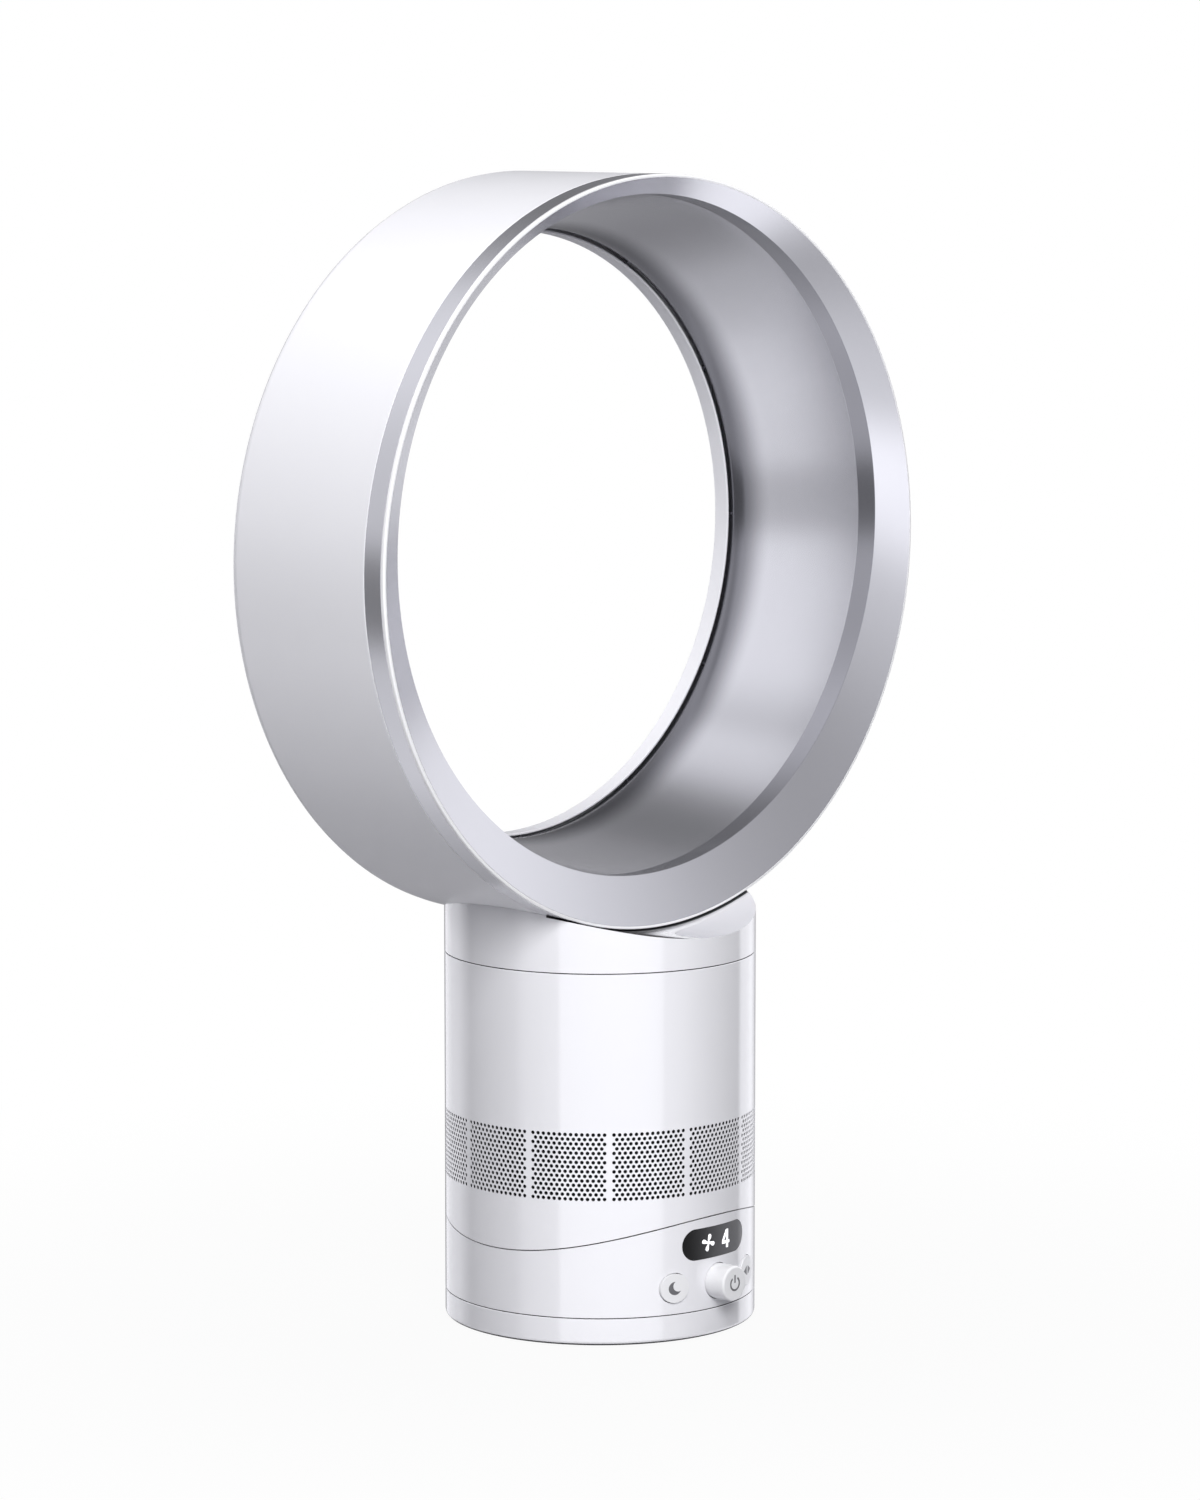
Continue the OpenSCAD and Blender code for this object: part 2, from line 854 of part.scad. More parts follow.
module control_casing() {
    case_h = saddle_edge_z - table_z + cut;
    color(white)
        difference() {
            union() {
                difference() {
                    rod(body_r, table_z, case_h);
                    difference() {
                        rod(bore_r, table_z - cut, case_h + 2 * cut);
                        tilt_drum(saddle_under_r);
                    }
                }
                around(4, case_boss_r, quarter / 2)
                    rod(boss_r, table_top, case_h - table_t);
            }
            tilt_drum(saddle_r);
            case_screw_set();
            difference() {
                pill(display_w + 2 * snug, display_h + 2 * snug, -body_r - cut, 0);
                rod(body_r - window_t, 0, tilt_axis_z);
            }
            pill(display_w - 2 * window_ledge, display_h - 2 * window_ledge, -body_r - cut, panel_y);
            y_rod(power_d / 2 + play, 0, button_z, -body_r - cut, panel_y);
            for (s = [-1, 1]) {
                y_rod(side_d / 2 + play, s * side_x, button_z, -body_r - cut, panel_y / 2);
                tilt_arc(saddle_r - cut, saddle_under_r + cut, s * runner_x, runner_w + 2 * play,
                    slot_angle);
            }
            tilt_arc(saddle_r - cut, saddle_under_r + cut, 0, lead_slot_w, lead_slot_angle);
        }
}

module casing_screws() {
    color(steel)
        case_screw_set();
}

module display_window() {
    color(black)
        difference() {
            intersection() {
                pill(display_w, display_h, -body_r - cut, 0);
                rod(body_r, 0, tilt_axis_z);
            }
            rod(body_r - window_t, 0, tilt_axis_z);
        }
}

module display_board() {
    color(board_green)
        difference() {
            translate([-panel_half_w, panel_y, panel_z])
                cube([2 * panel_half_w, board_t, panel_top - panel_z]);
            board_screw_set();
        }
}

module display_module() {
    color(black)
        translate([-module_w / 2, panel_y - module_depth, module_z - module_h / 2])
            cube([module_w, module_depth, module_h]);
}

module remote_receiver() {
    color(black) {
        translate([receiver_x - receiver_w / 2, panel_y - receiver_w / 2, module_z - receiver_h / 2])
            cube([receiver_w, receiver_w / 2, receiver_h]);
        y_rod(receiver_w / 2 - play, receiver_x, module_z, panel_y - receiver_w, panel_y - receiver_w / 2);
    }
}

module key_switches() {
    color(black) {
        translate([-key_w / 2, panel_y - key_h, button_z - key_w / 2])
            cube([key_w, key_h, key_w]);
        y_rod(key_stem_r, 0, button_z, key_stem_y, panel_y - key_h);
        for (s = [-1, 1])
            translate([s * side_key_x - side_key_w / 2, side_key_y, button_z - side_key_w / 2])
                cube([side_key_w, panel_y - side_key_y, side_key_w]);
    }
}

module main_board() {
    color(board_green)
        difference() {
            translate([-main_w / 2, main_y, main_z])
                cube([main_w, main_l, board_t]);
            board_screw_set();
        }
}

// Parts on the main board, as [x, y, width, length, height] shares of its size
component_shares = [
    [0.2, 0.12, 0.22, 0.5, 1],
    [0.5, 0.5, 0.2, 0.36, 0.7],
    [0.76, 0.35, 0.08, 0.5, 0.85]
];
capacitor_shares = [[0.2, 0.8, 1], [0.5, 0.25, 0.9], [0.66, 0.25, 0.9]];

module board_components() {
    color(black) {
        for (c = component_shares)
            translate([(c[0] - 1 / 2) * main_w, main_y + c[1] * main_l, main_z + board_t])
                cube([c[2] * main_w, c[3] * main_l, c[4] * comp_h]);
        for (c = capacitor_shares)
            translate([(c[0] - 1 / 2) * main_w, main_y + c[1] * main_l, 0])
                small_rod(comp_h / 3, main_z + board_t, c[2] * comp_h);
    }
}

module board_screws() {
    color(steel)
        board_screw_set();
}

module ribbon_cable() {
    color(acetal)
        translate([-ribbon_w / 2, panel_back_y, ribbon_z])
            cube([ribbon_w, main_y + main_post_edge / 2 - panel_back_y, ribbon_t]);
}

// Buttons: each slides straight back, and its collar stays inside the wall

module power_button() {
    face_y = -(body_r + power_proud);
    edge = power_d / 16;
    color(white) {
        y_rod(power_d / 2, 0, button_z, face_y + edge, power_flange_y);
        translate([0, face_y, button_z])
            rotate([-quarter, 0, 0])
                cylinder(r1 = power_d / 2 - edge, r2 = power_d / 2, h = edge);
        y_rod(power_d / 2 + flange_over, 0, button_z, power_flange_y, power_flange_y + flange_t);
    }
}

module side_button(x) {
    face_r = body_r + side_proud;
    color(white)
        difference() {
            intersection() {
                union() {
                    y_rod(side_d / 2, x, button_z, -face_r - cut, 0);
                    intersection() {
                        y_rod(side_d / 2 + flange_over, x, button_z, -bore_r, 0);
                        rod(bore_r - play, 0, tilt_axis_z);
                    }
                }
                rod(face_r, 0, tilt_axis_z);
            }
            rod(bore_r - side_back, 0, tilt_axis_z);
        }
}

module night_button() {
    side_button(-side_x);
}

module sweep_button() {
    side_button(side_x);
}

// Tilting upper body

module runner_screw_set() {
    for (sx = [-1, 1], sy = [-1, 1])
        translate([sx * runner_x, 0, tilt_axis_z])
            rotate([sy * runner_angle / 2, 0, 0])
                screw_down(-(shoe_r - shoe_t), shoe_t + runner_screw_l, small_screw_r,
                    small_head_r, small_head_h);
}

module shoe_screw_set() {
    around(4, shoe_boss_r, quarter / 2)
        screw_up(shoe_head_z, shoe_screw_l, screw_r, head_r, head_h);
}

module tilt_shoe() {
    color(acetal)
        difference() {
            union() {
                difference() {
                    intersection() {
                        rod(bore_r - snug, 0, tilt_axis_z / 2);
                        tilt_drum(shoe_r);
                    }
                    tilt_drum(shoe_r - shoe_t);
                }
                intersection() {
                    around(4, shoe_boss_r, quarter / 2)
                        rod(boss_r + body_wall / 2, 0, shoe_pad_top);
                    tilt_drum(shoe_r);
                    rod(bore_r - snug, 0, tilt_axis_z / 2);
                }
            }
            rod(lead_hole_r, 0, tilt_axis_z / 2);
            runner_screw_set();
            shoe_screw_set();
            around(4, shoe_boss_r, quarter / 2)
                small_rod(head_r, 0, shoe_head_z);
        }
}

module tilt_runners() {
    color(acetal)
        for (s = [-1, 1])
            difference() {
                union() {
                    tilt_arc(shoe_r, runner_head_r + play, s * runner_x, runner_w, runner_angle);
                    tilt_arc(runner_head_r, runner_head_r + runner_head_t, s * runner_x,
                        runner_head_w, runner_angle);
                }
                runner_screw_set();
            }
}

module runner_screws() {
    color(steel)
        runner_screw_set();
}

module shoe_screws() {
    color(steel)
        shoe_screw_set();
}

module body_casing() {
    color(white)
        difference() {
            union() {
                tube(body_r, bore_r, 0, collar_top);
                tube(bore_r + snug, bore_r - ledge_w, ledge_z, ledge_t);
                around(4, shoe_boss_r, quarter / 2)
                    rod(boss_r, shoe_pad_top, grille_z - play - shoe_pad_top);
            }
            difference() {
                rod(body_r + cut, -cut, tilt_axis_z / 2);
                tilt_drum(shoe_r);
            }
            shoe_screw_set();
            tube(body_r + cut, grille_r, grille_z, grille_h);
            for (i = [0 : grille_panels - 1])
                rotate([0, 0, -quarter + (i - 1 / 2) * panel_angle])
                    sector(bar_angle / 2, panel_angle - bar_angle / 2, body_r, grille_z + window_margin,
                        grille_h - 2 * window_margin);
        }
}

module inlet_grille() {
    hole_h = (grille_h - 2 * window_margin) / grille_rows - slot_edge;
    hole_angle = panel_span_angle / grille_columns;
    hole_w = slot_share * 2 * body_r * sin(hole_angle / 2);
    color(white)
        difference() {
            tube(body_r, grille_r, grille_z, grille_h);
            for (i = [0 : grille_panels - 1], j = [0 : grille_columns - 1])
                rotate([0, 0, -quarter + (i - 1 / 2) * panel_angle + bar_angle / 2
                    + (j + 1 / 2) * hole_angle])
                    for (k = [0 : grille_rows - 1])
                        translate([grille_r - cut, -hole_w / 2,
                            grille_z + window_margin + slot_edge / 2 + k * (hole_h + slot_edge)])
                            cube([grille_t + 2 * cut, hole_w, hole_h]);
        }
}

module base_foam() {
    color(foam_grey)
        difference() {
            intersection() {
                rod(base_foam_r, 0, base_foam_top);
                tilt_drum(shoe_r - shoe_t - snug);
            }
            for (s = [-1, 1])
                translate([s * runner_x, 0, 0])
                    rod(foam_hole_r, 0, base_foam_top);
        }
}

module shroud_seal() {
    color(rubber)
        tube(bore_r - snug, bore_r - ledge_w, ledge_top, seal_t);
}

// Inside and outside of the bell, from its mouth up to the duct
function bell(extra) = [
    [throat_r + extra + mouth_lip, shroud_z],
    [throat_r + extra, throat_z],
    [throat_r + extra, throat_z + throat_len],
    [duct_r + extra, bell_top],
    [duct_r + extra, shroud_top]
];

module impeller_shroud() {
    flange_r = bore_r - snug;
    color(foam_grey)
        difference() {
            union() {
                rotate_extrude()
                    polygon(concat([[0, shroud_z]], bell(duct_wall), [[0, shroud_top]]));
                rod(flange_r, shroud_z, flange_plate);
                rod(flange_r, shroud_top - flange_plate, flange_plate);
            }
            rotate_extrude()
                polygon(concat([[0, shroud_z - cut], [throat_r + mouth_lip, shroud_z - cut]], bell(0),
                    [[duct_r, shroud_top + cut], [0, shroud_top + cut]]));
            collar_screw_set();
        }
}

module duct_foam() {
    color(foam_grey)
        tube(bore_r - foam_gap, duct_out_r + foam_gap, duct_foam_z, shroud_top - flange_plate - duct_foam_z);
}

module guide_vanes() {
    sleeve_r = bucket_r + vane_sleeve;
    color(foam_grey) {
        tube(sleeve_r, bucket_r, vane_z, vane_h);
        tube(duct_r, duct_r - vane_sleeve, vane_z, vane_h);
        intersection() {
            tube(duct_r - vane_sleeve / 2, sleeve_r - vane_sleeve / 2, vane_z, vane_h);
            for (i = [0 : guide_vanes_n - 1])
                rotate([0, 0, i * turn / guide_vanes_n])
                    translate([0, 0, vane_z + vane_h / 2])
                        rotate([vane_angle, 0, 0])
                            translate([0, -blade_t / 2, -vane_h])
                                cube([duct_r, blade_t, 2 * vane_h]);
        }
    }
}

module motor_bucket() {
    color(foam_grey)
        difference() {
            rod(bucket_r, bucket_floor, cap_z - bucket_floor);
            rod(bucket_r - bucket_wall, bucket_floor + bucket_wall, cap_z);
            rod(bearing_r + bucket_wall, bucket_floor - cut, bucket_wall + 2 * cut);
        }
}

module motor_cap() {
    color(foam_grey)
        difference() {
            translate([0, 0, cap_z])
                cylinder(r1 = bucket_r, r2 = cap_r, h = cap_h);
            translate([0, 0, cap_z - snug])
                cylinder(r1 = bucket_r - bucket_wall, r2 = cap_r - bucket_wall, h = cap_h - bucket_wall);
        }
}

module motor_mounts() {
    color(rubber) {
        tube(motor_r - motor_wall, bearing_r + bucket_wall, motor_z - mount_t, mount_t);
        tube(motor_r - motor_wall, bearing_r + bucket_wall, motor_top, mount_t);
        tube(bucket_r - bucket_wall, motor_r, motor_z + motor_end, mount_t);
        tube(bucket_r - bucket_wall, bearing_r + bucket_wall, motor_top + mount_t / 2, mount_t / 2);
    }
}

module motor_housing() {
    color(steel)
        difference() {
            rod(motor_r, motor_z, motor_h);
            rod(motor_r - motor_wall, motor_z + motor_end, motor_h - 2 * motor_end);
            rod(bearing_r, motor_z - cut, motor_h + 2 * cut);
        }
}

module stator() {
    color(steel)
        difference() {
            union() {
                tube(motor_r - motor_wall, motor_r - motor_wall - yoke_t, stator_z, stator_h);
                around(pole_n, 0)
                    translate([0, -pole_w / 2, stator_z])
                        cube([motor_r - motor_wall - yoke_t / 2, pole_w, stator_h]);
            }
            rod(magnet_r + rotor_gap, stator_z - cut, stator_h + 2 * cut);
        }
}

module windings() {
    coil_in = magnet_r + rotor_gap + winding_t;
    color(copper)
        around(pole_n, 0)
            difference() {
                translate([coil_in, -pole_w / 2 - winding_t, stator_z - winding_t])
                    cube([winding_w, pole_w + 2 * winding_t, stator_h + 2 * winding_t]);
                translate([coil_in - cut, -pole_w / 2, stator_z])
                    cube([winding_w + 2 * cut, pole_w, stator_h]);
            }
}

module bearings() {
    color(steel) {
        tube(bearing_r, shaft_r + run, motor_z + motor_end - bearing_t, bearing_t);
        tube(bearing_r, shaft_r + run, motor_top - motor_end, bearing_t);
    }
}

module rotor_magnet() {
    color(steel)
        tube(magnet_r, shaft_r, stator_z - winding_t, stator_h + 2 * winding_t);
}

module motor_shaft() {
    color(steel)
        rod(shaft_r, impeller_z + blade_t, motor_top - impeller_z - blade_t);
}

module impeller() {
    hub_out_r = bucket_r;
    shroud_run = (duct_r - throat_r) / (bell_top - throat_z - throat_len);
    tip_r = throat_r + (impeller_top - throat_z - throat_len) * shroud_run - blade_gap;
    color(white)
        difference() {
            union() {
                rotate_extrude()
                    polygon([[0, impeller_z], [nose_r / 2, impeller_z], [nose_r, impeller_z + blade_t],
                        [hub_out_r, impeller_top - blade_t], [hub_out_r, impeller_top],
                        [0, impeller_top]]);
                intersection() {
                    rotate_extrude()
                        polygon([[nose_r / 2, impeller_z + blade_t], [throat_r - blade_gap, impeller_z],
                            [throat_r - blade_gap, throat_z + throat_len + blade_gap / 2],
                            [tip_r, impeller_top], [hub_out_r - blade_t, impeller_top]]);
                    for (i = [0 : impeller_blades - 1])
                        rotate([0, 0, i * turn / impeller_blades])
                            translate([0, 0, impeller_z + impeller_h / 2])
                                rotate([blade_angle, 0, 0])
                                    translate([0, -blade_t / 2, -2 * impeller_h])
                                        cube([duct_r, blade_t, 4 * impeller_h]);
                }
            }
            rotate_extrude()
                polygon([[hub_boss_r, impeller_top + cut], [hub_boss_r, impeller_z + blade_t + hub_wall],
                    [nose_r, impeller_z + blade_t + hub_wall],
                    [hub_out_r - hub_wall, impeller_top - blade_t / 2],
                    [hub_out_r - hub_wall, impeller_top + cut]]);
            rod(shaft_r, impeller_z + blade_t, impeller_h);
        }
}

// Neck joint

module collar_screw_set() {
    around(lug_n, collar_screw_r, lug_turn_angle / 2)
        screw_down(collar_top, collar_screw_l, small_screw_r, small_head_r, small_head_h);
}

module neck_collar() {
    color(acetal)
        difference() {
            tube(bore_r - snug, spigot_out_r + play, shroud_top, collar_top - shroud_top);
            tube(spigot_out_r + lug_out + play, spigot_out_r, lug_z - play, lug_h + 2 * play);
            for (i = [0 : lug_n - 1])
                rotate([0, 0, i * turn / lug_n + lug_turn_angle])
                    sector(-lug_angle - 1, lug_angle + 1, spigot_out_r + lug_out + play, lug_z - play,
                        neck_seam_z - lug_z);
            collar_screw_set();
        }
}

module collar_screws() {
    color(steel)
        collar_screw_set();
}

module neck_seal() {
    color(rubber)
        tube(duct_out_r - play, spigot_out_r - spigot_wall + duct_wall, shroud_top, spigot_z - shroud_top);
}

// Ring. Each frame stands its child's profile on the ring's axis, with the
// child's Z running from front to back.

module outline_frame() {
    translate([0, 0, ring_z])
        rotate([-quarter, 0, 0])
            multmatrix([[1, 0, 0, 0], [0, oval, 0, 0], [0, 0, 1, 0], [0, 0, 0, 1]])
                children();
}

module inner_frame() {
    translate([0, 0, ring_z])
        rotate([-quarter, 0, 0])
            multmatrix([[1, 0, 0, 0], [0, oval, -rise_rate, rise_rate * mouth_y - mouth_rise],
                [0, 0, 1, 0], [0, 0, 0, 1]])
                children();
}

module flare_frame() {
    translate([0, 0, ring_z])
        rotate([-quarter, 0, 0])
            multmatrix([[1, 0, 0, 0], [0, oval, -flare_rate, flare_rate * front_y],
                [0, 0, 1, 0], [0, 0, 0, 1]])
                children();
}

module cone(r1, y1, r2, y2) {
    translate([0, 0, y1])
        cylinder(r1 = r1, r2 = r2, h = y2 - y1, $fn = wide_fn);
}

// Profile of the outer casing: its wall and its closed back
module casing_profile() {
    difference() {
        union() {
            translate([0, band_y])
                square([ring_r, ring_depth - band_w - ring_round]);
            translate([0, band_y])
                square([ring_r - ring_round, ring_depth - band_w]);
            translate([ring_r - ring_round, back_y - ring_round])
                circle(r = ring_round, $fn = small_fn);
        }
        translate([-cut, band_y - cut])
            square([ring_in_r - ring_round + cut, ring_depth - band_w - ring_wall + cut]);
        translate([-cut, band_y - cut])
            square([ring_in_r + cut, ring_depth - band_w - ring_round + cut]);
        translate([ring_r - ring_round, back_y - ring_round])
            circle(r = ring_round - ring_wall, $fn = small_fn);
    }
}

module spigot() {
    tube(spigot_out_r, spigot_out_r - spigot_wall, spigot_z, neck_z + neck_floor / 2 - spigot_z);
    for (i = [0 : lug_n - 1])
        rotate([0, 0, i * turn / lug_n])
            difference() {
                sector(-lug_angle, lug_angle, spigot_out_r + lug_out, lug_z, lug_h);
                rod(spigot_out_r - spigot_wall / 2, lug_z - cut, lug_h + 2 * cut);
            }
}

// The shell before it is made oval; its back opening sits above the middle
module casing_shell() {
    difference() {
        union() {
            rotate_extrude($fn = wide_fn)
                casing_profile();
            translate([0, -lip_rise / oval, 0])
                cone(lip_out_r, lip_y, lip_out_r, back_y - ring_wall / 2);
        }
        translate([0, -lip_rise / oval, 0])
            cone(lip_in_r, lip_y - cut, lip_in_r, back_y + cut);
    }
}

// The opening that lets the air up from the neck into the ring
module air_port() {
    intersection() {
        translate([-port_half_x, band_y + port_inset / 2, neck_z + 2 * neck_floor])
            cube([2 * port_half_x, back_y - port_inset - band_y, body_r / 2]);
        rod(port_r, neck_z, body_r);
    }
}

module ring_casing() {
    color(white)
        difference() {
            outline_frame()
                casing_shell();
            air_port();
        }
}

// The neck: a short tube whose top follows the underside of the ring
module ring_neck() {
    neck_top = ring_z - ring_r * oval + body_r / 2;
    color(white)
        difference() {
            union() {
                rod(body_r, neck_z, neck_top - neck_z);
                spigot();
            }
            outline_frame()
                cone(ring_r + snug, -body_d, ring_r + snug, body_d);
            difference() {
                rod(bore_r, neck_z + neck_floor, body_r);
                outline_frame()
                    cone(ring_r + ring_wall, -body_d, ring_r + ring_wall, body_d);
            }
            rod(spigot_out_r - spigot_wall, neck_z - cut, neck_floor + 2 * cut);
            air_port();
        }
}

// Inner wall, pushed outwards by extra: the straight guide, the cone, then
// the round shoulder that the air clings to
function inner_line(extra) = concat(
    [[mouth_r + extra, mouth_y], [mouth_r + extra, guide_y]],
    [for (a = [-cone_angle : shoulder_angle : asin((tail_y - waist_y) / coanda_r)])
        [waist_r + coanda_r - (coanda_r - extra) * cos(a), waist_y + (coanda_r - extra) * sin(a)]],
    [[waist_r + coanda_r - sqrt(pow(coanda_r - extra, 2) - pow(tail_y - waist_y, 2)), tail_y]]
);

// Everything inside the inner wall
module inner_plug(extra) {
    line = inner_line(extra);
    rotate_extrude($fn = wide_fn)
        polygon(concat([[0, mouth_y]], line, [[0, tail_y]]));
}

module quarter_revolve(q) {
    rotate([0, 0, q * quarter])
        rotate_extrude(angle = quarter, $fn = wide_fn)
            children();
}

module ring_diffuser() {
    inner = inner_line(0);
    color(silver)
        for (q = [0 : 3])
            inner_frame()
                quarter_revolve(q)
                    polygon(concat(inner_line(inner_wall),
                        [for (i = [len(inner) - 1 : -1 : 0]) inner[i]]));
}

module ring_slice(n, t, first, len) {
    for (i = [0 : n - 1])
        rotate([0, first + i * turn / n, 0])
            translate([-t / 2, 0, 0])
                cube([t, len, 2 * ring_r]);
}

module ring_ribs() {
    color(silver)
        difference() {
            intersection() {
                translate([0, rib_y, ring_z])
                    ring_slice(rib_n, rib_t, turn / rib_n / 2, rib_len);
                outline_frame()
                    cone(ring_in_r - play, rib_y, ring_in_r - play, rib_y + rib_len);
            }
            inner_frame()
                inner_plug(inner_wall + snug);
        }
}

module slit_spacers() {
    color(silver)
        inner_frame()
            around(spacer_n, lip_out_r + snug)
                translate([0, -spacer_t / 2, lip_y])
                    cube([slit_w - 2 * snug, spacer_t, spacer_len]);
}

// The flare: its wall thins to an edge at the rim and ends flat on the guide
module front_flare() {
    slope = (trim_r - mouth_r) / flare_depth;
    color(silver)
        for (q = [0 : 3])
            flare_frame()
                quarter_revolve(q)
                    polygon([[trim_r, front_y], [mouth_r, mouth_y],
                        [mouth_r + slope * flare_wall, mouth_y],
                        [trim_r - flare_relief * flare_wall,
                            front_y + flare_wall * (1 + flare_relief / slope)],
                        [trim_r - flare_edge_in, front_y + flare_edge]]);
}

module front_band() {
    color(silver)
        for (q = [0 : 3])
            outline_frame()
                quarter_revolve(q)
                    translate([ring_in_r, trim_y])
                        square([ring_wall, band_y - trim_y]);
}

module front_trim() {
    color(white)
        for (q = [0 : 3])
            outline_frame()
                quarter_revolve(q) {
                    translate([trim_r, front_y + trim_w / 2])
                        square([trim_w, trim_y - front_y - trim_w / 2]);
                    translate([trim_r + trim_w / 2, front_y + trim_w / 2])
                        circle(r = trim_w / 2, $fn = small_fn);
                }
}

foot_shell();
base_plate();
foot_pads();
foot_screws();
cord_gland();
drive_rack();
rack_screws();
slide_ring();
pivot_clip();
turntable();
control_casing();
casing_screws();
display_window();
display_board();
display_module();
remote_receiver();
key_switches();
main_board();
board_components();
board_screws();
ribbon_cable();
gear_motor();
gear_motor_screws();
pinion();
pinion_shaft();
power_button();
night_button();
sweep_button();
tilt_shoe();
tilt_runners();
runner_screws();
shoe_screws();
body_casing();
inlet_grille();
base_foam();
shroud_seal();
impeller_shroud();
duct_foam();
guide_vanes();
motor_bucket();
motor_cap();
motor_mounts();
motor_housing();
stator();
windings();
bearings();
rotor_magnet();
motor_shaft();
impeller();
neck_collar();
collar_screws();
neck_seal();
ring_casing();
ring_neck();
ring_diffuser();
ring_ribs();
slit_spacers();
front_flare();
front_band();
front_trim();
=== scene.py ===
import math

import bpy
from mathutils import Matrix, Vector


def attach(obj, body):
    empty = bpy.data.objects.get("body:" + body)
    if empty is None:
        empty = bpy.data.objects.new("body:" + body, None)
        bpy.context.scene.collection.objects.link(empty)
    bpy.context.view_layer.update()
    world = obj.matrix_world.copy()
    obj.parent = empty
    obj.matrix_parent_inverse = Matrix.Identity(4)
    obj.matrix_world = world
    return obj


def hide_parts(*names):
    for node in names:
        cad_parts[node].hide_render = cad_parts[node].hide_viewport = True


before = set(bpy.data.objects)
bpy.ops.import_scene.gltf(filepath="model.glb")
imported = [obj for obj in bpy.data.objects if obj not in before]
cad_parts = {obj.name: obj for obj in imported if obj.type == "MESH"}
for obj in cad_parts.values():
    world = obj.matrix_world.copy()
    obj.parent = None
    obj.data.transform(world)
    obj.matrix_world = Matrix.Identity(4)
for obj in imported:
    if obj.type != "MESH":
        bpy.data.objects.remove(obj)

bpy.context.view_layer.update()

mm = 0.001


# ---- Foot -------------------------------------------------------------------
# The foot is one white moulding: a low outer wall with a rounded lower edge, a
# deck inside it and the hollow pivot that the stand turns on. A pale bottom
# plate is screwed into it from below and stands on six rubber pads.

def clear_bench():
    """Nothing is selected and no piece is open for editing."""
    if bpy.context.mode != "OBJECT":
        bpy.ops.object.mode_set(mode="OBJECT")
    bpy.ops.object.select_all(action="DESELECT")


def pick(piece):
    clear_bench()
    piece.select_set(True)
    bpy.context.view_layer.objects.active = piece


def open_up(piece):
    """Opens the piece for editing, with all of it selected."""
    pick(piece)
    bpy.ops.object.mode_set(mode="EDIT")
    bpy.ops.mesh.select_all(action="SELECT")


def close_up(doubles=0):
    """Merges corners nearer than doubles, in mm, turns the faces outwards and ends the editing."""
    bpy.ops.mesh.select_all(action="SELECT")
    if doubles:
        bpy.ops.mesh.remove_doubles(threshold=doubles * mm)
    bpy.ops.mesh.normals_make_consistent(inside=False)
    bpy.ops.object.mode_set(mode="OBJECT")


def work(piece, kind, **settings):
    """Puts one modifier on the piece and applies it."""
    pick(piece)
    step = piece.modifiers.new("step", kind)
    for label, value in settings.items():
        setattr(step, label, value)
    bpy.ops.object.modifier_apply(modifier=step.name)


def shade_soft(piece):
    """Smooth shading, apart from edges that turn by more than 35 degrees."""
    pick(piece)
    bpy.ops.object.shade_smooth_by_angle(angle=math.radians(35))


def shade_evenly(piece):
    """Smooth shading over the roundings, with the large faces kept flat in the light."""
    shade_soft(piece)
    work(piece, "WEIGHTED_NORMAL", keep_sharp=True)


def rounded(corners):
    """A closed outline of (along, radius, rounding) corners, with its corners rounded."""
    steps = 5
    outline = []
    for i, (along, radius, rounding) in enumerate(corners):
        here = Vector((along, radius))
        if rounding == 0:
            outline.append(tuple(here))
            continue
        before = (Vector(corners[i - 1][:2]) - here).normalized()
        after = (Vector(corners[(i + 1) % len(corners)][:2]) - here).normalized()
        half = before.angle(after) / 2
        reach = rounding / math.tan(half)
        middle = here + (before + after).normalized() * (rounding / math.sin(half))
        first = here + before * reach - middle
        sweep = first.angle_signed(here + after * reach - middle)
        for k in range(steps + 1):
            turn = -sweep * k / steps
            outline.append((middle.x + first.x * math.cos(turn) - first.y * math.sin(turn),
                            middle.y + first.x * math.sin(turn) + first.y * math.cos(turn)))
    return outline


def pull_loops(name, axis, stations, segments=256):
    """One loop of edges, drawn out through (along, half width, half height, middle) stations in mm."""
    clear_bench()
    upright = axis == "Z"
    bpy.ops.mesh.primitive_circle_add(vertices=segments, radius=1, fill_type="NOTHING",
                                      rotation=(0 if upright else math.pi / 2, 0, 0))
    piece = bpy.context.object
    piece.name = name
    bpy.ops.object.transform_apply(location=True, rotation=True, scale=True)

    def place(station):
        return Vector((0, 0, station[0])) * mm if upright else Vector((0, station[0], station[3])) * mm

    def stretch(wide, high):
        return (wide, high, 1) if upright else (wide, 1, high)

    open_up(piece)
    last = stations[0]
    bpy.ops.transform.resize(value=stretch(last[1] * mm, last[2] * mm), center_override=(0, 0, 0))
    bpy.ops.transform.translate(value=place(last))
    for station in stations[1:] + stations[:1]:
        bpy.ops.mesh.extrude_region_move(
            TRANSFORM_OT_translate={"value": place(station) - place(last)})
        bpy.ops.transform.resize(value=stretch(station[1] / last[1], station[2] / last[2]),
                                 center_override=place(station))
        last = station
    close_up(doubles=0.002)
    shade_evenly(piece)
    return piece


def turned(name, corners, segments=256, axis="Z", middle=0):
    """A closed round moulding about the stand's axis, or about a line along Y at a height."""
    return pull_loops(name, axis, [(a, r, r, middle) for a, r in rounded(corners)], segments)


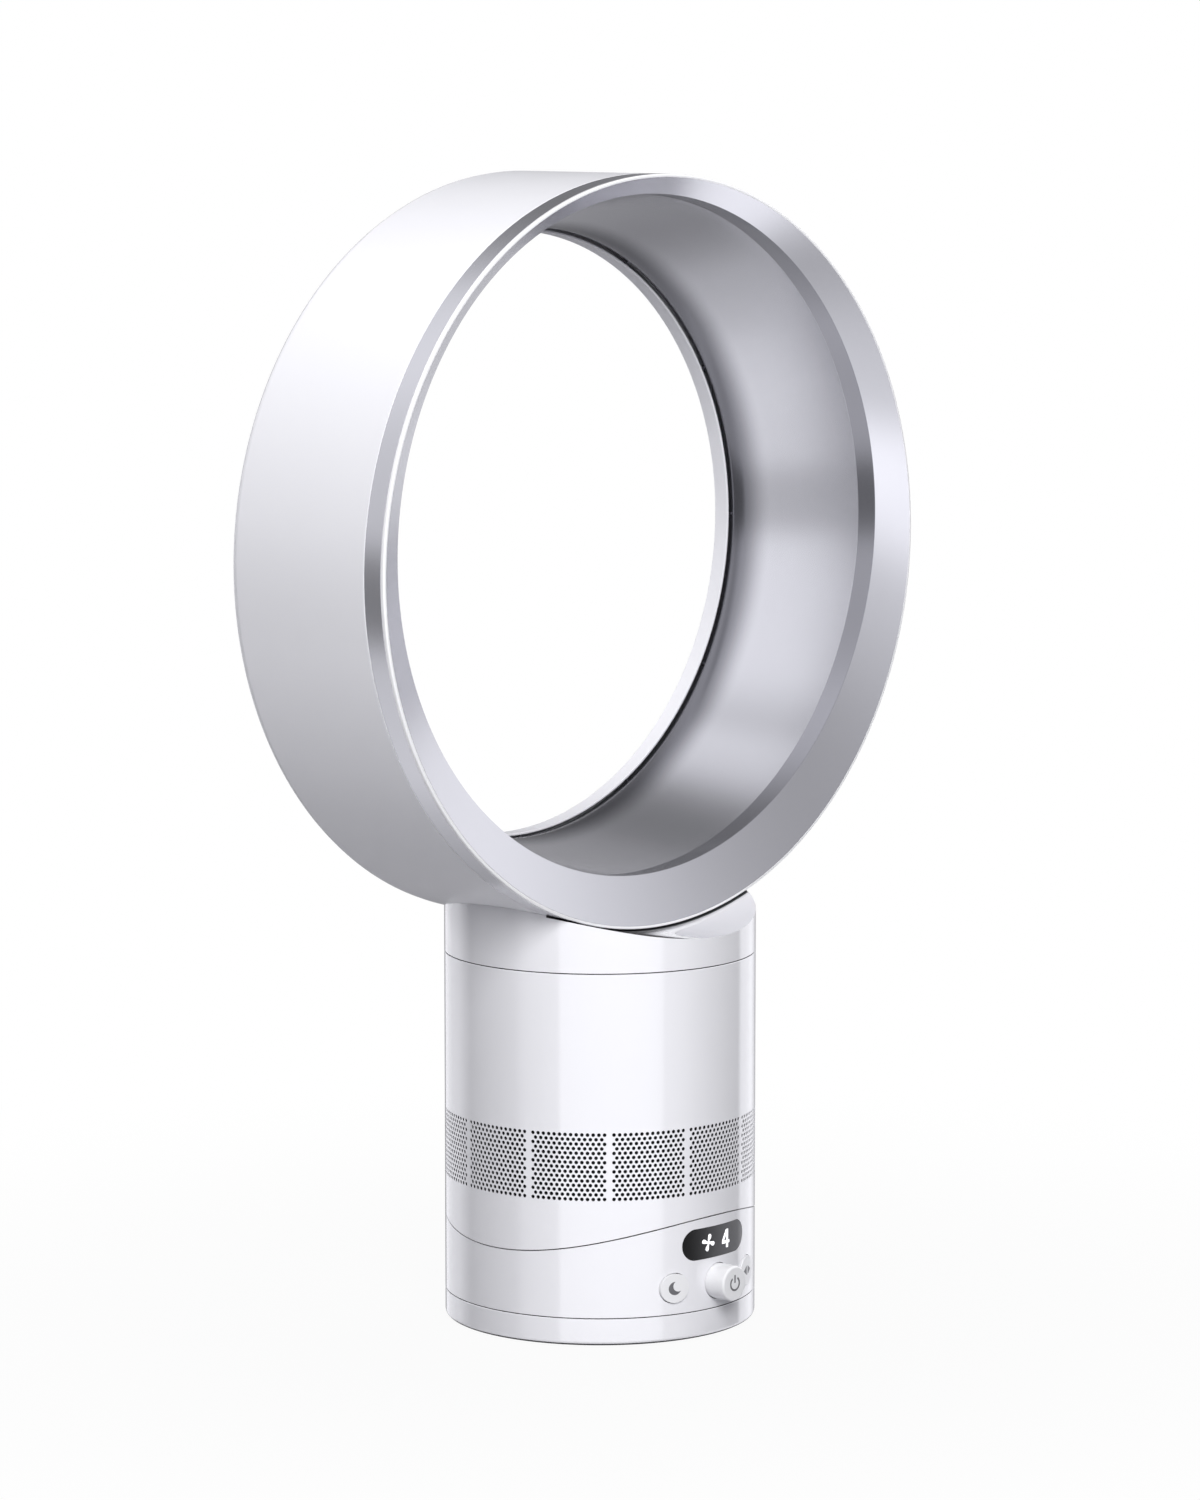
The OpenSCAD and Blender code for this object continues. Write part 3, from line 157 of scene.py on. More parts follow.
def rod(name, radius, start, end, axis="Z", at=(0, 0), segments=96):
    """A plain round bar, mostly used as a cutter, between two places along an axis, in mm."""
    clear_bench()
    half = (start + end) / 2
    spot = {"Z": (at[0], at[1], half), "Y": (at[0], half, at[1]), "X": (half, at[0], at[1])}[axis]
    turn = {"Z": (0, 0, 0), "Y": (math.pi / 2, 0, 0), "X": (0, math.pi / 2, 0)}[axis]
    bpy.ops.mesh.primitive_cylinder_add(vertices=segments, radius=radius * mm, depth=(end - start) * mm,
                                        location=Vector(spot) * mm, rotation=turn)
    bar = bpy.context.object
    bar.name = name
    bpy.ops.object.transform_apply(location=True, rotation=True, scale=True)
    return bar


def carve(piece, cutters, how="DIFFERENCE"):
    """Each cutter is taken out of the piece, or joined to it, or the piece is kept only inside it."""
    for cutter in cutters:
        work(piece, "BOOLEAN", operation=how, solver="EXACT", object=cutter)
        bpy.data.objects.remove(cutter)


def soften_edges(piece, width, segments=2):
    """Every sharp edge gets the small rounding of a moulded part."""
    work(piece, "BEVEL", width=width * mm, segments=segments, limit_method="ANGLE",
         angle_limit=math.radians(40))
    shade_evenly(piece)


def wire_value(tree, value, socket):
    """Links a wire to a socket, or sets the socket to a plain value."""
    if isinstance(value, Wire):
        tree.links.new(value.socket, socket)
    else:
        socket.default_value = value


class Wire:
    """A number in a material that can be written in plain sums."""

    def __init__(self, tree, socket):
        self.tree = tree
        self.socket = socket

    def sum(self, operation, first, second):
        node = self.tree.nodes.new("ShaderNodeMath")
        node.operation = operation
        wire_value(self.tree, first, node.inputs[0])
        wire_value(self.tree, second, node.inputs[1])
        return Wire(self.tree, node.outputs[0])

    def __add__(self, other):
        return self.sum("ADD", self, other)

    __radd__ = __add__

    def __sub__(self, other):
        return self.sum("SUBTRACT", self, other)

    def __rsub__(self, other):
        return self.sum("SUBTRACT", other, self)

    def __mul__(self, other):
        return self.sum("MULTIPLY", self, other)

    __rmul__ = __mul__

    def __truediv__(self, other):
        return self.sum("DIVIDE", self, other)

    def __rtruediv__(self, other):
        return self.sum("DIVIDE", other, self)

    def __pow__(self, other):
        return self.sum("POWER", self, other)

    def __gt__(self, other):
        return self.sum("GREATER_THAN", self, other)

    def __lt__(self, other):
        return self.sum("LESS_THAN", self, other)


class Wiring:
    """The nodes of a material or of the surroundings."""

    def __init__(self, tree):
        self.tree = tree

    def node(self, kind, settings=(), inputs=(), out=0):
        """Adds a node, with its settings first and then its sockets, and returns one output as a wire."""
        node = self.tree.nodes.new(kind)
        for label, value in dict(settings).items():
            if label == "stops":
                ramp = node.color_ramp
                for place, colour in value[1:-1]:
                    ramp.elements.new(place)
                for element, (place, colour) in zip(ramp.elements, value):
                    element.position = place
                    element.color = colour
            else:
                setattr(node, label, value)
        for label, value in dict(inputs).items():
            wire_value(self.tree, value, node.inputs[label])
        return Wire(self.tree, node.outputs[out]) if node.outputs else None

    def spot(self):
        """The place on the object, in its own frame, in metres."""
        return self.node("ShaderNodeTexCoord", out="Object")

    def parts(self, vector):
        """x, y and z of a vector."""
        split = self.node("ShaderNodeSeparateXYZ", {}, {0: vector}).socket.node
        return [Wire(self.tree, socket) for socket in split.outputs]

    def noise(self, scale, detail=2, where=None):
        return self.node("ShaderNodeTexNoise", {}, {"Vector": where or self.spot(), "Scale": scale,
                                                    "Detail": detail})

    def wave(self, angle):
        """The sine of a wire."""
        return self.node("ShaderNodeMath", {"operation": "SINE"}, {0: angle})

    def blend(self, mask, first, second):
        """A colour between two colours."""
        return self.node("ShaderNodeMix", {"data_type": "RGBA"}, {0: mask, 6: first, 7: second}, out=2)

    def between(self, value, low, high, first=0, second=1):
        """Takes a wire from low..high to first..second, softly and held at the ends."""
        return self.node("ShaderNodeMapRange", {"interpolation_type": "SMOOTHSTEP", "clamp": True},
                         {"Value": value, "From Min": low, "From Max": high, "To Min": first,
                          "To Max": second})


class Finish(Wiring):
    """A material: a Principled skin, with wires for what varies over the surface."""

    def __init__(self, name, **constants):
        self.material = bpy.data.materials.new(name)
        self.material.use_nodes = True
        super().__init__(self.material.node_tree)
        self.skin = self.tree.nodes["Principled BSDF"]
        for label, value in constants.items():
            self.skin.inputs[label.replace("_", " ")].default_value = value

    def set(self, label, value):
        wire_value(self.tree, value, self.skin.inputs[label])

    def bump(self, height, strength, distance):
        """Small relief, its distance in mm."""
        self.set("Normal", self.node("ShaderNodeBump", {},
                                     {"Height": height, "Strength": strength, "Distance": distance * mm}))


def gloss_white(name, painted_shade=None, polish=1.0):
    """High-gloss white plastic, faintly lilac, with the slight waves of a moulded wall.

    The mask function says, from x, y and z, where shade is painted near black and the gloss is taken off, in seams
    and holes;
    polish is 1 for the mirror gloss of the stand and less for a satin moulding."""
    finish = Finish(name, IOR=1.4 + 0.15 * polish, Coat_Roughness=0.03, Coat_IOR=1.7)
    blur = 0.07 + 0.2 * (1 - polish) + finish.noise(40) * 0.04
    tint = finish.blend(finish.noise(9), (0.862, 0.860, 0.900, 1), (0.876, 0.875, 0.910, 1))
    # Painted shade: the masked faces are painted near black.
    if painted_shade:
        mask = painted_shade(*finish.parts(finish.spot()))
        tint = finish.blend(mask, tint, (0.035, 0.035, 0.038, 1))
        blur = mask * 0.6 + blur
        polish = polish - mask * polish
    finish.set("Base Color", tint)
    finish.set("Roughness", blur)
    finish.set("Coat Weight", polish)
    finish.bump(finish.noise(22, 1) + finish.noise(260) * 0.03, 0.03, 0.35)
    return finish.material


def dress(material, *nodes):
    """A CAD node keeps its shape and takes this finish."""
    for name in nodes:
        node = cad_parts[name]
        node.data.materials.clear()
        node.data.materials.append(material)


def deliver(piece, material, body, finish_slot, *nodes):
    """The finished piece takes its finish and its body; the CAD nodes that it stands for are hidden."""
    piece.data.materials.clear()
    piece.data.materials.append(material)
    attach(piece, body)
    if nodes:
        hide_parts(*nodes)


def in_seam(x, y, z, rim=72.2):
    """A mask of the faces that lie deeper than the rim of the round wall, in mm; shade is painted near black on
    them.
    """
    return (x * x + y * y) ** 0.5 < rim * mm


body_r = 72.5
bore_r = 69.5
foot_low = 0.8
foot_top = 13.35
deck_low = 4.4
deck_top = 6.9
pivot_r = 15
pivot_bore_r = 11
pivot_top = 18.85
cord_way_r = 3.6
cord_way_z = 7.7

foot = turned("foot_moulding", [
    (foot_top, body_r, 0.35), (foot_top, bore_r, 0.35), (deck_top, bore_r, 0.4), (deck_top, pivot_r, 0.6),
    (pivot_top, pivot_r, 0.3), (pivot_top, pivot_bore_r, 0.3), (deck_low, pivot_bore_r, 0.3),
    (deck_low, bore_r, 0.4), (foot_low, bore_r, 0.2), (foot_low, body_r, 2.1)])
carve(foot, [rod("cord_way", cord_way_r, bore_r - 3, body_r + 3, "Y", (0, cord_way_z), 48)])
# Painted shade: the foot's faces inside its outer wall are painted near black.
deliver(foot, gloss_white("foot_gloss_white", in_seam), "foot", "shell_white", "foot_shell")

plate = Finish("plate_plastic")
plate_grain = plate.noise(900, 3)
plate.set("Base Color", plate.blend(plate.noise(30), (0.70, 0.70, 0.72, 1), (0.76, 0.76, 0.78, 1)))
plate.set("Roughness", 0.42 + plate_grain * 0.2)
plate.bump(plate_grain, 0.25, 0.05)
dress(plate.material, "base_plate")

rubber = Finish("pad_rubber")
rubber.set("Base Color", rubber.blend(rubber.noise(120), (0.030, 0.030, 0.032, 1), (0.055, 0.055, 0.058, 1)))
rubber.set("Roughness", 0.7 + rubber.noise(500, 3) * 0.25)
rubber.bump(rubber.noise(1400, 3), 0.4, 0.06)
dress(rubber.material, "foot_pads", "cord_gland", "shroud_seal", "neck_seal", "motor_mounts")

screw = Finish("zinc_steel", Metallic=1.0)
screw.set("Base Color", screw.blend(screw.noise(700), (0.50, 0.50, 0.51, 1), (0.66, 0.66, 0.66, 1)))
screw.set("Roughness", 0.24 + screw.noise(1500, 3) * 0.18)
dress(screw.material, "foot_screws", "rack_screws", "casing_screws", "board_screws",
      "gear_motor_screws", "runner_screws", "shoe_screws", "collar_screws")


# ---- Turning gear -----------------------------------------------------------
# Inside the foot a toothed arc of acetal is fixed. A small gear motor on the
# turntable rolls its pinion along it. These stay as the solids have them, and
# so do the acetal slides of the tilt and the collar that holds the ring.

acetal = Finish("acetal")
acetal.set("Base Color", acetal.blend(acetal.noise(60), (0.74, 0.73, 0.69, 1), (0.82, 0.81, 0.77, 1)))
acetal.set("Roughness", 0.34 + acetal.noise(600, 3) * 0.16)
acetal.bump(acetal.noise(900), 0.12, 0.04)
dress(acetal.material, "drive_rack", "slide_ring", "turntable", "pinion",
      "tilt_shoe", "tilt_runners", "neck_collar")

steel = Finish("turned_steel", Metallic=1.0)
lathe_marks = steel.noise(
    700, 3, where=steel.node("ShaderNodeMapping", {}, {"Vector": steel.spot(), "Scale": (1, 1, 14)}))
steel.set("Base Color", steel.blend(lathe_marks, (0.46, 0.46, 0.48, 1), (0.60, 0.60, 0.61, 1)))
steel.set("Roughness", 0.26 + lathe_marks * 0.2)
steel.bump(lathe_marks, 0.15, 0.02)
dress(steel.material, "pivot_clip", "gear_motor", "pinion_shaft", "motor_housing", "stator",
      "bearings", "rotor_magnet", "motor_shaft")


# ---- Control casing ---------------------------------------------------------
# The part of the stand that swings: a moulded white shell between the foot's
# seam and the curved saddle, screwed to the turntable from below. Its front
# carries the dark display and three buttons.

table_z = 13.85
axis_z = 236.0
saddle_r = 193.4
window_w = 42.3
window_h = 14.3
window_z = 44.7
button_z = 26.0
side_x = 25.4
peg_way_r = 8.5
cap_way_r = 7.1


def grab(piece, test):
    """Opens the piece for editing with only those corners selected that pass the test."""
    pick(piece)
    bpy.ops.object.mode_set(mode="EDIT")
    bpy.ops.mesh.select_mode(type="VERT")
    bpy.ops.mesh.select_all(action="DESELECT")
    bpy.ops.object.mode_set(mode="OBJECT")
    for corner in piece.data.vertices:
        corner.select = test(corner.co)
    bpy.ops.object.mode_set(mode="EDIT")


def pill(name, width, height, z, y0, y1):
    """A bar along Y with a pill-shaped outline: a round bar whose two halves are drawn apart."""
    bar = rod(name, height / 2, y0, y1, "Y", (0, z))
    for side in (-1, 1):
        grab(bar, lambda spot: spot.x * side > 0.001 * mm)
        bpy.ops.transform.translate(value=(side * (width - height) / 2 * mm, 0, 0))
        bpy.ops.object.mode_set(mode="OBJECT")
    return bar


def saddle_bar(radius):
    """The round of the saddle, across the stand."""
    return rod("saddle", radius, -90, 90, "X", (0, axis_z), 720)


def wall_drum(radius):
    """A round bar on the stand's axis, as high as the casing and more."""
    return rod("wall_drum", radius, 0, 90, segments=288)


def in_front_hole(x, y, z):
    """A mask of the faces inside the holes of the display and the buttons, where shade is painted near black."""
    return in_seam(x, y, z) * (y < -64.5 * mm) * (z < 54 * mm)


casing = rod("control_shell", body_r, table_z, 62, segments=288)
carve(casing, [saddle_bar(saddle_r)])
hollow = rod("hollow", bore_r, table_z - 2, 70, segments=288)
carve(hollow, [saddle_bar(saddle_r + 3)])
carve(casing, [hollow])
seat = pill("display_seat", window_w + 0.4, window_h + 0.4, window_z, -80, -55)
carve(seat, [wall_drum(body_r - 2.1)])
carve(casing, [
    seat,
    pill("display_way", window_w - 3.7, window_h - 3.7, window_z, -80, -60),
    rod("power_way", peg_way_r, -80, -60, "Y", (0, button_z)),
    rod("night_way", cap_way_r, -80, -40, "Y", (-side_x, button_z)),
    rod("sweep_way", cap_way_r, -80, -40, "Y", (side_x, button_z))])
soften_edges(casing, 0.28)
# Painted shade: the walls of the display and button holes are painted near black.
deliver(casing, gloss_white("casing_gloss_white", in_front_hole), "turntable", "shell_white", "control_casing")


# ---- Display ----------------------------------------------------------------
# A pill of dark gloss acrylic, flush with the casing. A small fan symbol and a
# figure for the speed shine through it from the board behind.

def curve_to_wall(piece, face_r, back_r):
    """The piece is kept only between two radii about the stand's axis."""
    carve(piece, [wall_drum(face_r)], "INTERSECT")
    carve(piece, [wall_drum(back_r)])


window = pill("display_glass", window_w, window_h, window_z, -78, -60)
curve_to_wall(window, body_r - 0.05, body_r - 2.0)
soften_edges(window, 0.2)
glass = Finish("display_acrylic", IOR=1.4, Specular_IOR_Level=0.3)
# Painted reflection: the acrylic is painted from near black at its left end to dark grey at its right.
painted_reflection = glass.between(glass.parts(glass.spot())[0], -24 * mm, 21 * mm)
glass.set("Base Color", glass.blend(painted_reflection, (0.002, 0.002, 0.002, 1), (0.19, 0.19, 0.20, 1)))
glass.set("Roughness", 0.03 + glass.noise(60) * 0.03)
deliver(window, glass.material, "turntable", "window_black", "display_window")


def flat_outline(name, points, y=-80, depth=20):
    """A flat shape in the XZ plane, in mm, with some depth along Y, to be cut to the wall."""
    clear_bench()
    bpy.ops.mesh.primitive_circle_add(vertices=len(points), radius=1, fill_type="NGON")
    shape = bpy.context.object
    shape.name = name
    for vertex, (px, pz) in zip(shape.data.vertices, points):
        vertex.co = Vector((px, y, pz)) * mm
    open_up(shape)
    bpy.ops.mesh.extrude_region_move(TRANSFORM_OT_translate={"value": (0, depth * mm, 0)})
    close_up()
    return shape


def joined(name, shapes):
    clear_bench()
    for shape in shapes:
        shape.select_set(True)
    bpy.context.view_layer.objects.active = shapes[0]
    bpy.ops.object.join()
    whole = bpy.context.object
    whole.name = name
    return whole


def fan_blade(turn, middle_x, middle_z, size):
    """One blade of the fan symbol: a leaf that leans to one side."""
    leaf = [(0.06, 0.10), (0.20, 0.30), (0.40, 0.52), (0.46, 0.78), (0.30, 0.97), (0.08, 0.98),
            (-0.04, 0.80), (-0.06, 0.50), (-0.10, 0.16)]
    c, s = math.cos(turn), math.sin(turn)
    return flat_outline("blade", [(middle_x + size * (px * c - pz * s), middle_z + size * (px * s + pz * c))
                                  for px, pz in leaf])


def figure(name, points, *span):
    """A shape of the figure, drawn in shares of its width and of half its height."""
    return flat_outline(name, [(figure_x + px * figure_w, window_z + pz * figure_half) for px, pz in points], *span)


fan_at = (-6.2, window_z)
fan_r = 4.0
figure_x = 7.6
figure_w = 4.4
figure_half = 4.3
lit = [fan_blade(quarter * math.pi / 2, *fan_at, fan_r) for quarter in range(4)]
lit.append(rod("symbol_hub", 0.75, -80, -60, "Y", fan_at, 24))
four = figure("figure", [
    (-0.30, -1.0), (0.06, -1.0), (0.06, -0.52), (0.30, -0.52), (0.30, -0.20), (0.06, -0.20),
    (0.06, 1.0), (-0.34, 1.0), (-1.0, -0.16), (-1.0, -0.52), (-0.30, -0.52)])
carve(four, [figure("figure_gap", [(-0.30, -0.20), (-0.30, 0.42), (-0.68, -0.20)], -85, 30)])
lit.append(four)
for sign in lit:
    curve_to_wall(sign, body_r - 0.01, body_r - 0.6)
signs = joined("display_signs", lit)
shade_soft(signs)
light = Finish("display_light", Roughness=0.3, Emission_Strength=0.85)
light.set("Base Color", light.blend(light.noise(400), (0.82, 0.83, 0.86, 1), (0.9, 0.9, 0.92, 1)))
light.set("Emission Color", light.blend(light.noise(300), (0.93, 0.94, 1.0, 1), (1, 1, 1, 1)))
deliver(signs, light.material, "turntable", "window_black")


# ---- Buttons ----------------------------------------------------------------
# Three push buttons of white satin plastic. The power button is a round peg;
# the other two lie almost flush. Each has its sign inlaid in grey.

satin = Finish("button_satin_white", IOR=1.5, Coat_Weight=0.25, Coat_Roughness=0.1)
satin.set("Base Color", satin.blend(satin.noise(50), (0.85, 0.85, 0.87, 1), (0.88, 0.88, 0.90, 1)))
satin.set("Roughness", 0.18 + satin.noise(500, 3) * 0.1)
satin.bump(satin.noise(1500), 0.05, 0.02)
ink = Finish("inlay_grey", Roughness=0.35)
ink.set("Base Color", ink.blend(ink.noise(300), (0.11, 0.11, 0.12, 1), (0.16, 0.16, 0.17, 1)))

peg_r = 8.2
peg_front = -(body_r + 10.47)
flange_r = 9.2
flange_front = -67.8
flange_back = -66.7
power = turned("power_peg", [
    (peg_front, 0.02, 0), (peg_front, peg_r, 1.1), (flange_front, peg_r, 0.3), (flange_front, flange_r, 0.3),
    (flange_back, flange_r, 0.3), (flange_back, 0.02, 0)], 128, "Y", button_z)
deliver(power, satin.material, "power_button", "button_white", "power_button")


def on_peg(name, points):
    """A shallow inlay in the flat face of the peg, drawn about the peg's middle."""
    return flat_outline(name, [(px, button_z + pz) for px, pz in points], peg_front - 0.03, 0.3)


arc_turns = [math.radians(125 + 290 * k / 40) for k in range(41)]
power_arc = [(radius * math.cos(turn), radius * math.sin(turn))
             for radius, turns in ((3.45, arc_turns), (2.55, arc_turns[::-1])) for turn in turns]
power_sign = joined("power_sign", [
    on_peg("power_arc", power_arc),
    on_peg("power_bar", [(-0.45, 0.4), (0.45, 0.4), (0.45, 4.1), (-0.45, 4.1)])])
deliver(power_sign, ink.material, "power_button", "button_white")


def side_cap(name, x):
    """A side button, its face curved like the casing."""
    cap = rod(name, 6.8, -80, -50, "Y", (x, button_z), 128)
    collar = rod("collar", 7.8, -80, -50, "Y", (x, button_z), 128)
    carve(collar, [wall_drum(bore_r - 0.3)], "INTERSECT")
    carve(cap, [wall_drum(body_r + 0.9)], "INTERSECT")
    carve(cap, [collar], "UNION")
    carve(cap, [wall_drum(bore_r - 1.3)])
    soften_edges(cap, 0.3, 3)
    return cap


def on_cap(sign):
    """A sign is trimmed to lie in the curved face of a side button."""
    curve_to_wall(sign, body_r + 0.93, body_r + 0.5)
    shade_soft(sign)
    return sign


night = side_cap("night_cap", -side_x)
deliver(night, satin.material, "night_button", "button_white", "night_button")
moon_turns = [math.radians(52 + 296 * k / 36) for k in range(37)]
moon_sign = flat_outline("moon_sign", [(-side_x - 0.2 + 3.1 * math.cos(turn), button_z + 3.1 * math.sin(turn))
                                       for turn in moon_turns])
carve(moon_sign, [rod("moon_bite", 2.6, -85, -55, "Y", (-side_x + 1.5, button_z + 1.0), 64)])
deliver(on_cap(moon_sign), ink.material, "night_button", "button_white")

sweep = side_cap("sweep_cap", side_x)
deliver(sweep, satin.material, "sweep_button", "button_white", "sweep_button")
sweep_sign = joined("sweep_sign", [
    flat_outline("arrow", [(side_x + side * 0.55, button_z - 2.3), (side_x + side * 0.55, button_z + 2.3),
                           (side_x + side * 3.9, button_z)]) for side in (-1, 1)])
deliver(on_cap(sweep_sign), ink.material, "sweep_button", "button_white")


# ---- Boards and drive -------------------------------------------------------
# Green boards, black parts and a flat cable sit in the control casing; the
# windings, the sound foam, the duct and the impeller sit in the upper body.
# The solids are right; only their finishes are made here.

board = Finish("board_green")
board.set("Base Color", board.blend(board.noise(250, 3), (0.03, 0.16, 0.07, 1), (0.05, 0.24, 0.11, 1)))
board.set("Roughness", 0.3 + board.noise(800) * 0.15)
dress(board.material, "display_board", "main_board")

chip = Finish("moulded_black")
chip.set("Base Color", chip.blend(chip.noise(200), (0.022, 0.022, 0.024, 1), (0.04, 0.04, 0.042, 1)))
chip.set("Roughness", 0.4 + chip.noise(900) * 0.2)
dress(chip.material, "display_module", "remote_receiver", "key_switches", "board_components")

cable = Finish("flat_cable", Roughness=0.4)
cores = cable.wave(cable.parts(cable.spot())[0] * 4200)
cable.set("Base Color", cable.blend(cable.between(cores, -0.2, 0.2), (0.42, 0.42, 0.43, 1), (0.62, 0.62, 0.62, 1)))
cable.bump(cores, 0.3, 0.1)
dress(cable.material, "ribbon_cable")

copper = Finish("enamelled_copper", Metallic=1.0, Roughness=0.3)
wires = copper.wave(copper.parts(copper.spot())[2] * 12000)
copper.set("Base Color", copper.blend(copper.between(wires, -1, 1), (0.50, 0.22, 0.10, 1), (0.80, 0.42, 0.22, 1)))
copper.bump(wires, 0.4, 0.15)
dress(copper.material, "windings")

foam = Finish("sound_foam")
pores = foam.node("ShaderNodeTexVoronoi", {"feature": "F1"}, {"Vector": foam.spot(), "Scale": 900})
foam.set("Base Color", foam.blend(pores, (0.02, 0.02, 0.022, 1), (0.09, 0.09, 0.095, 1)))
foam.set("Roughness", 0.85 + pores * 0.15)
foam.bump(pores, 0.6, 0.5)
dress(foam.material, "base_foam", "duct_foam")

duct = Finish("duct_grey")
duct.set("Base Color", duct.blend(duct.noise(80), (0.085, 0.085, 0.09, 1), (0.12, 0.12, 0.125, 1)))
duct.set("Roughness", 0.4 + duct.noise(700, 3) * 0.2)
duct.bump(duct.noise(1100), 0.15, 0.04)
dress(duct.material, "impeller_shroud", "guide_vanes", "motor_bucket", "motor_cap")

blades = Finish("impeller_white")
blades.set("Base Color", blades.blend(blades.noise(60), (0.70, 0.70, 0.71, 1), (0.77, 0.77, 0.78, 1)))
blades.set("Roughness", 0.32 + blades.noise(700) * 0.15)
dress(blades.material, "impeller")


# ---- Upper body -------------------------------------------------------------
# The moulded white tube that tilts. Its lower edge follows the saddle with a
# thin seam, and a plain wall runs on below and above the perforated air inlet.

band_low = 68.03
band_high = 99.97
collar_top = 172.75

skirt = rod("skirt", body_r, 30, band_low, segments=360)
carve(skirt, [saddle_bar(saddle_r - 0.5)], "INTERSECT")
carve(skirt, [rod("skirt_bore", bore_r, 20, 80, segments=360)])
soften_edges(skirt, 0.28)
upper = turned("upper_wall", [
    (collar_top, body_r, 0.35), (collar_top, bore_r, 0.3), (band_high, bore_r, 0), (band_high, body_r, 0)], 360)
# Painted shade: the faces inside the wall, as in the seam over the saddle, are painted near black.
deliver(joined("upper_shell", [upper, skirt]), gloss_white("upper_gloss_white", in_seam),
        "upper", "shell_white", "body_casing")


# ---- Air inlet --------------------------------------------------------------
# A thin white sheet, flush with the wall, pierced with fifteen staggered rows
# of small round holes in twelve panels. Plain strips part the panels. The hole
# walls are painted near black, and a black liner behind the sheet stands in for
# the shade seen through the holes.

hole_r = 0.86
row_pitch = 2.13
pitch = math.radians(26.6 / 13) * body_r
cells_half = 7 * pitch
panel_half = math.radians(15) * body_r
sheet_t = 0.9


def plain_strip(name, x0, x1, z0, z1, across, up):
    """A plain strip of the flat sheet, divided to meet the cells beside it."""
    clear_bench()
    bpy.ops.mesh.primitive_grid_add(x_subdivisions=across, y_subdivisions=up, size=1)
    strip = bpy.context.object
    strip.name = name
    strip.scale = ((x1 - x0) * mm, (z1 - z0) * mm, 1)
    strip.location = ((x0 + x1) / 2 * mm, (z0 + z1) / 2 * mm, 0)
    bpy.ops.object.transform_apply(location=True, rotation=True, scale=True)
    return strip


def copy_of(piece):
    """A copy with a mesh of its own."""
    twin = piece.copy()
    twin.data = piece.data.copy()
    bpy.context.collection.objects.link(twin)
    return twin


def row_of(cell, count, x, z):
    """The cell, moved to its first place in mm, and repeated along the row."""
    for vertex in cell.data.vertices:
        vertex.co += Vector((x, z, 0)) * mm
    work(cell, "ARRAY", count=count, use_relative_offset=False, use_constant_offset=True,
         constant_offset_displace=(pitch * mm, 0, 0))
    return cell


# One cell: a hole of twelve sides whose rim is drawn out to the cell's own edge.
clear_bench()
bpy.ops.mesh.primitive_circle_add(vertices=12, radius=hole_r * mm, fill_type="NOTHING")
cell = bpy.context.object
cell.name = "cell"
open_up(cell)
bpy.ops.mesh.extrude_region_move(TRANSFORM_OT_translate={"value": (0, 0, 0)})
bpy.ops.transform.resize(value=(1.3, 1.3, 1), center_override=(0, 0, 0))
bpy.ops.object.mode_set(mode="OBJECT")
edge_of_cell = [(0.5, 0), (0.5, 0.5), (0.25, 0.5), (0, 0.5), (-0.25, 0.5), (-0.5, 0.5), (-0.5, 0),
                (-0.5, -0.5), (-0.25, -0.5), (0, -0.5), (0.25, -0.5), (0.5, -0.5)]
for vertex in cell.data.vertices:
    if vertex.co.length > hole_r * 1.1 * mm:
        clock = round(math.degrees(math.atan2(vertex.co.y, vertex.co.x)) / 30) % 12
        share_x, share_z = edge_of_cell[clock]
        vertex.co = Vector((share_x * pitch, share_z * row_pitch, 0)) * mm

# Rows of fourteen and thirteen cells take turns, and two half cells fill the short ones.
short_row = row_of(copy_of(cell), 13, pitch - cells_half, row_pitch)
next_row = row_of(copy_of(cell), 14, pitch / 2 - cells_half, 2 * row_pitch)
first_row = row_of(cell, 14, pitch / 2 - cells_half, 0)
fillers = [plain_strip("row_end", x0, x0 + pitch / 2, row_pitch / 2, row_pitch * 1.5, 2, 2)
           for x0 in (-cells_half, cells_half - pitch / 2)]
rows = joined("rows", [short_row, next_row] + fillers)
work(rows, "ARRAY", count=7, use_relative_offset=False, use_constant_offset=True,
     constant_offset_displace=(0, 2 * row_pitch * mm, 0))
bars = [plain_strip("bar", x0, x1, -row_pitch / 2, row_pitch * 14.5, 1, 30)
        for x0, x1 in ((-panel_half, -cells_half), (cells_half, panel_half))]
inlet = joined("inlet_sheet", [first_row, rows] + bars)
open_up(inlet)
close_up(doubles=0.01)

# The flat panel is bent to the wall, and spun round to make all twelve.
for vertex in inlet.data.vertices:
    turn = vertex.co.x / (body_r * mm) - math.pi / 2
    height = vertex.co.y + (band_low + row_pitch / 2) * mm
    vertex.co = Vector((body_r * mm * math.cos(turn), body_r * mm * math.sin(turn), height))
open_up(inlet)
bpy.ops.mesh.spin(steps=12, dupli=True, angle=2 * math.pi, center=(0, 0, 0), axis=(0, 0, 1))
close_up(doubles=0.01)
work(inlet, "SOLIDIFY", thickness=sheet_t * mm, offset=-1)
shade_soft(inlet)
# Painted shade: the walls of the holes are painted near black, all but their outer 0.2 mm.
inlet_white = gloss_white("inlet_gloss_white", lambda x, y, z: in_seam(x, y, z, rim=72.3))
deliver(inlet, inlet_white, "upper", "shell_white", "inlet_grille")

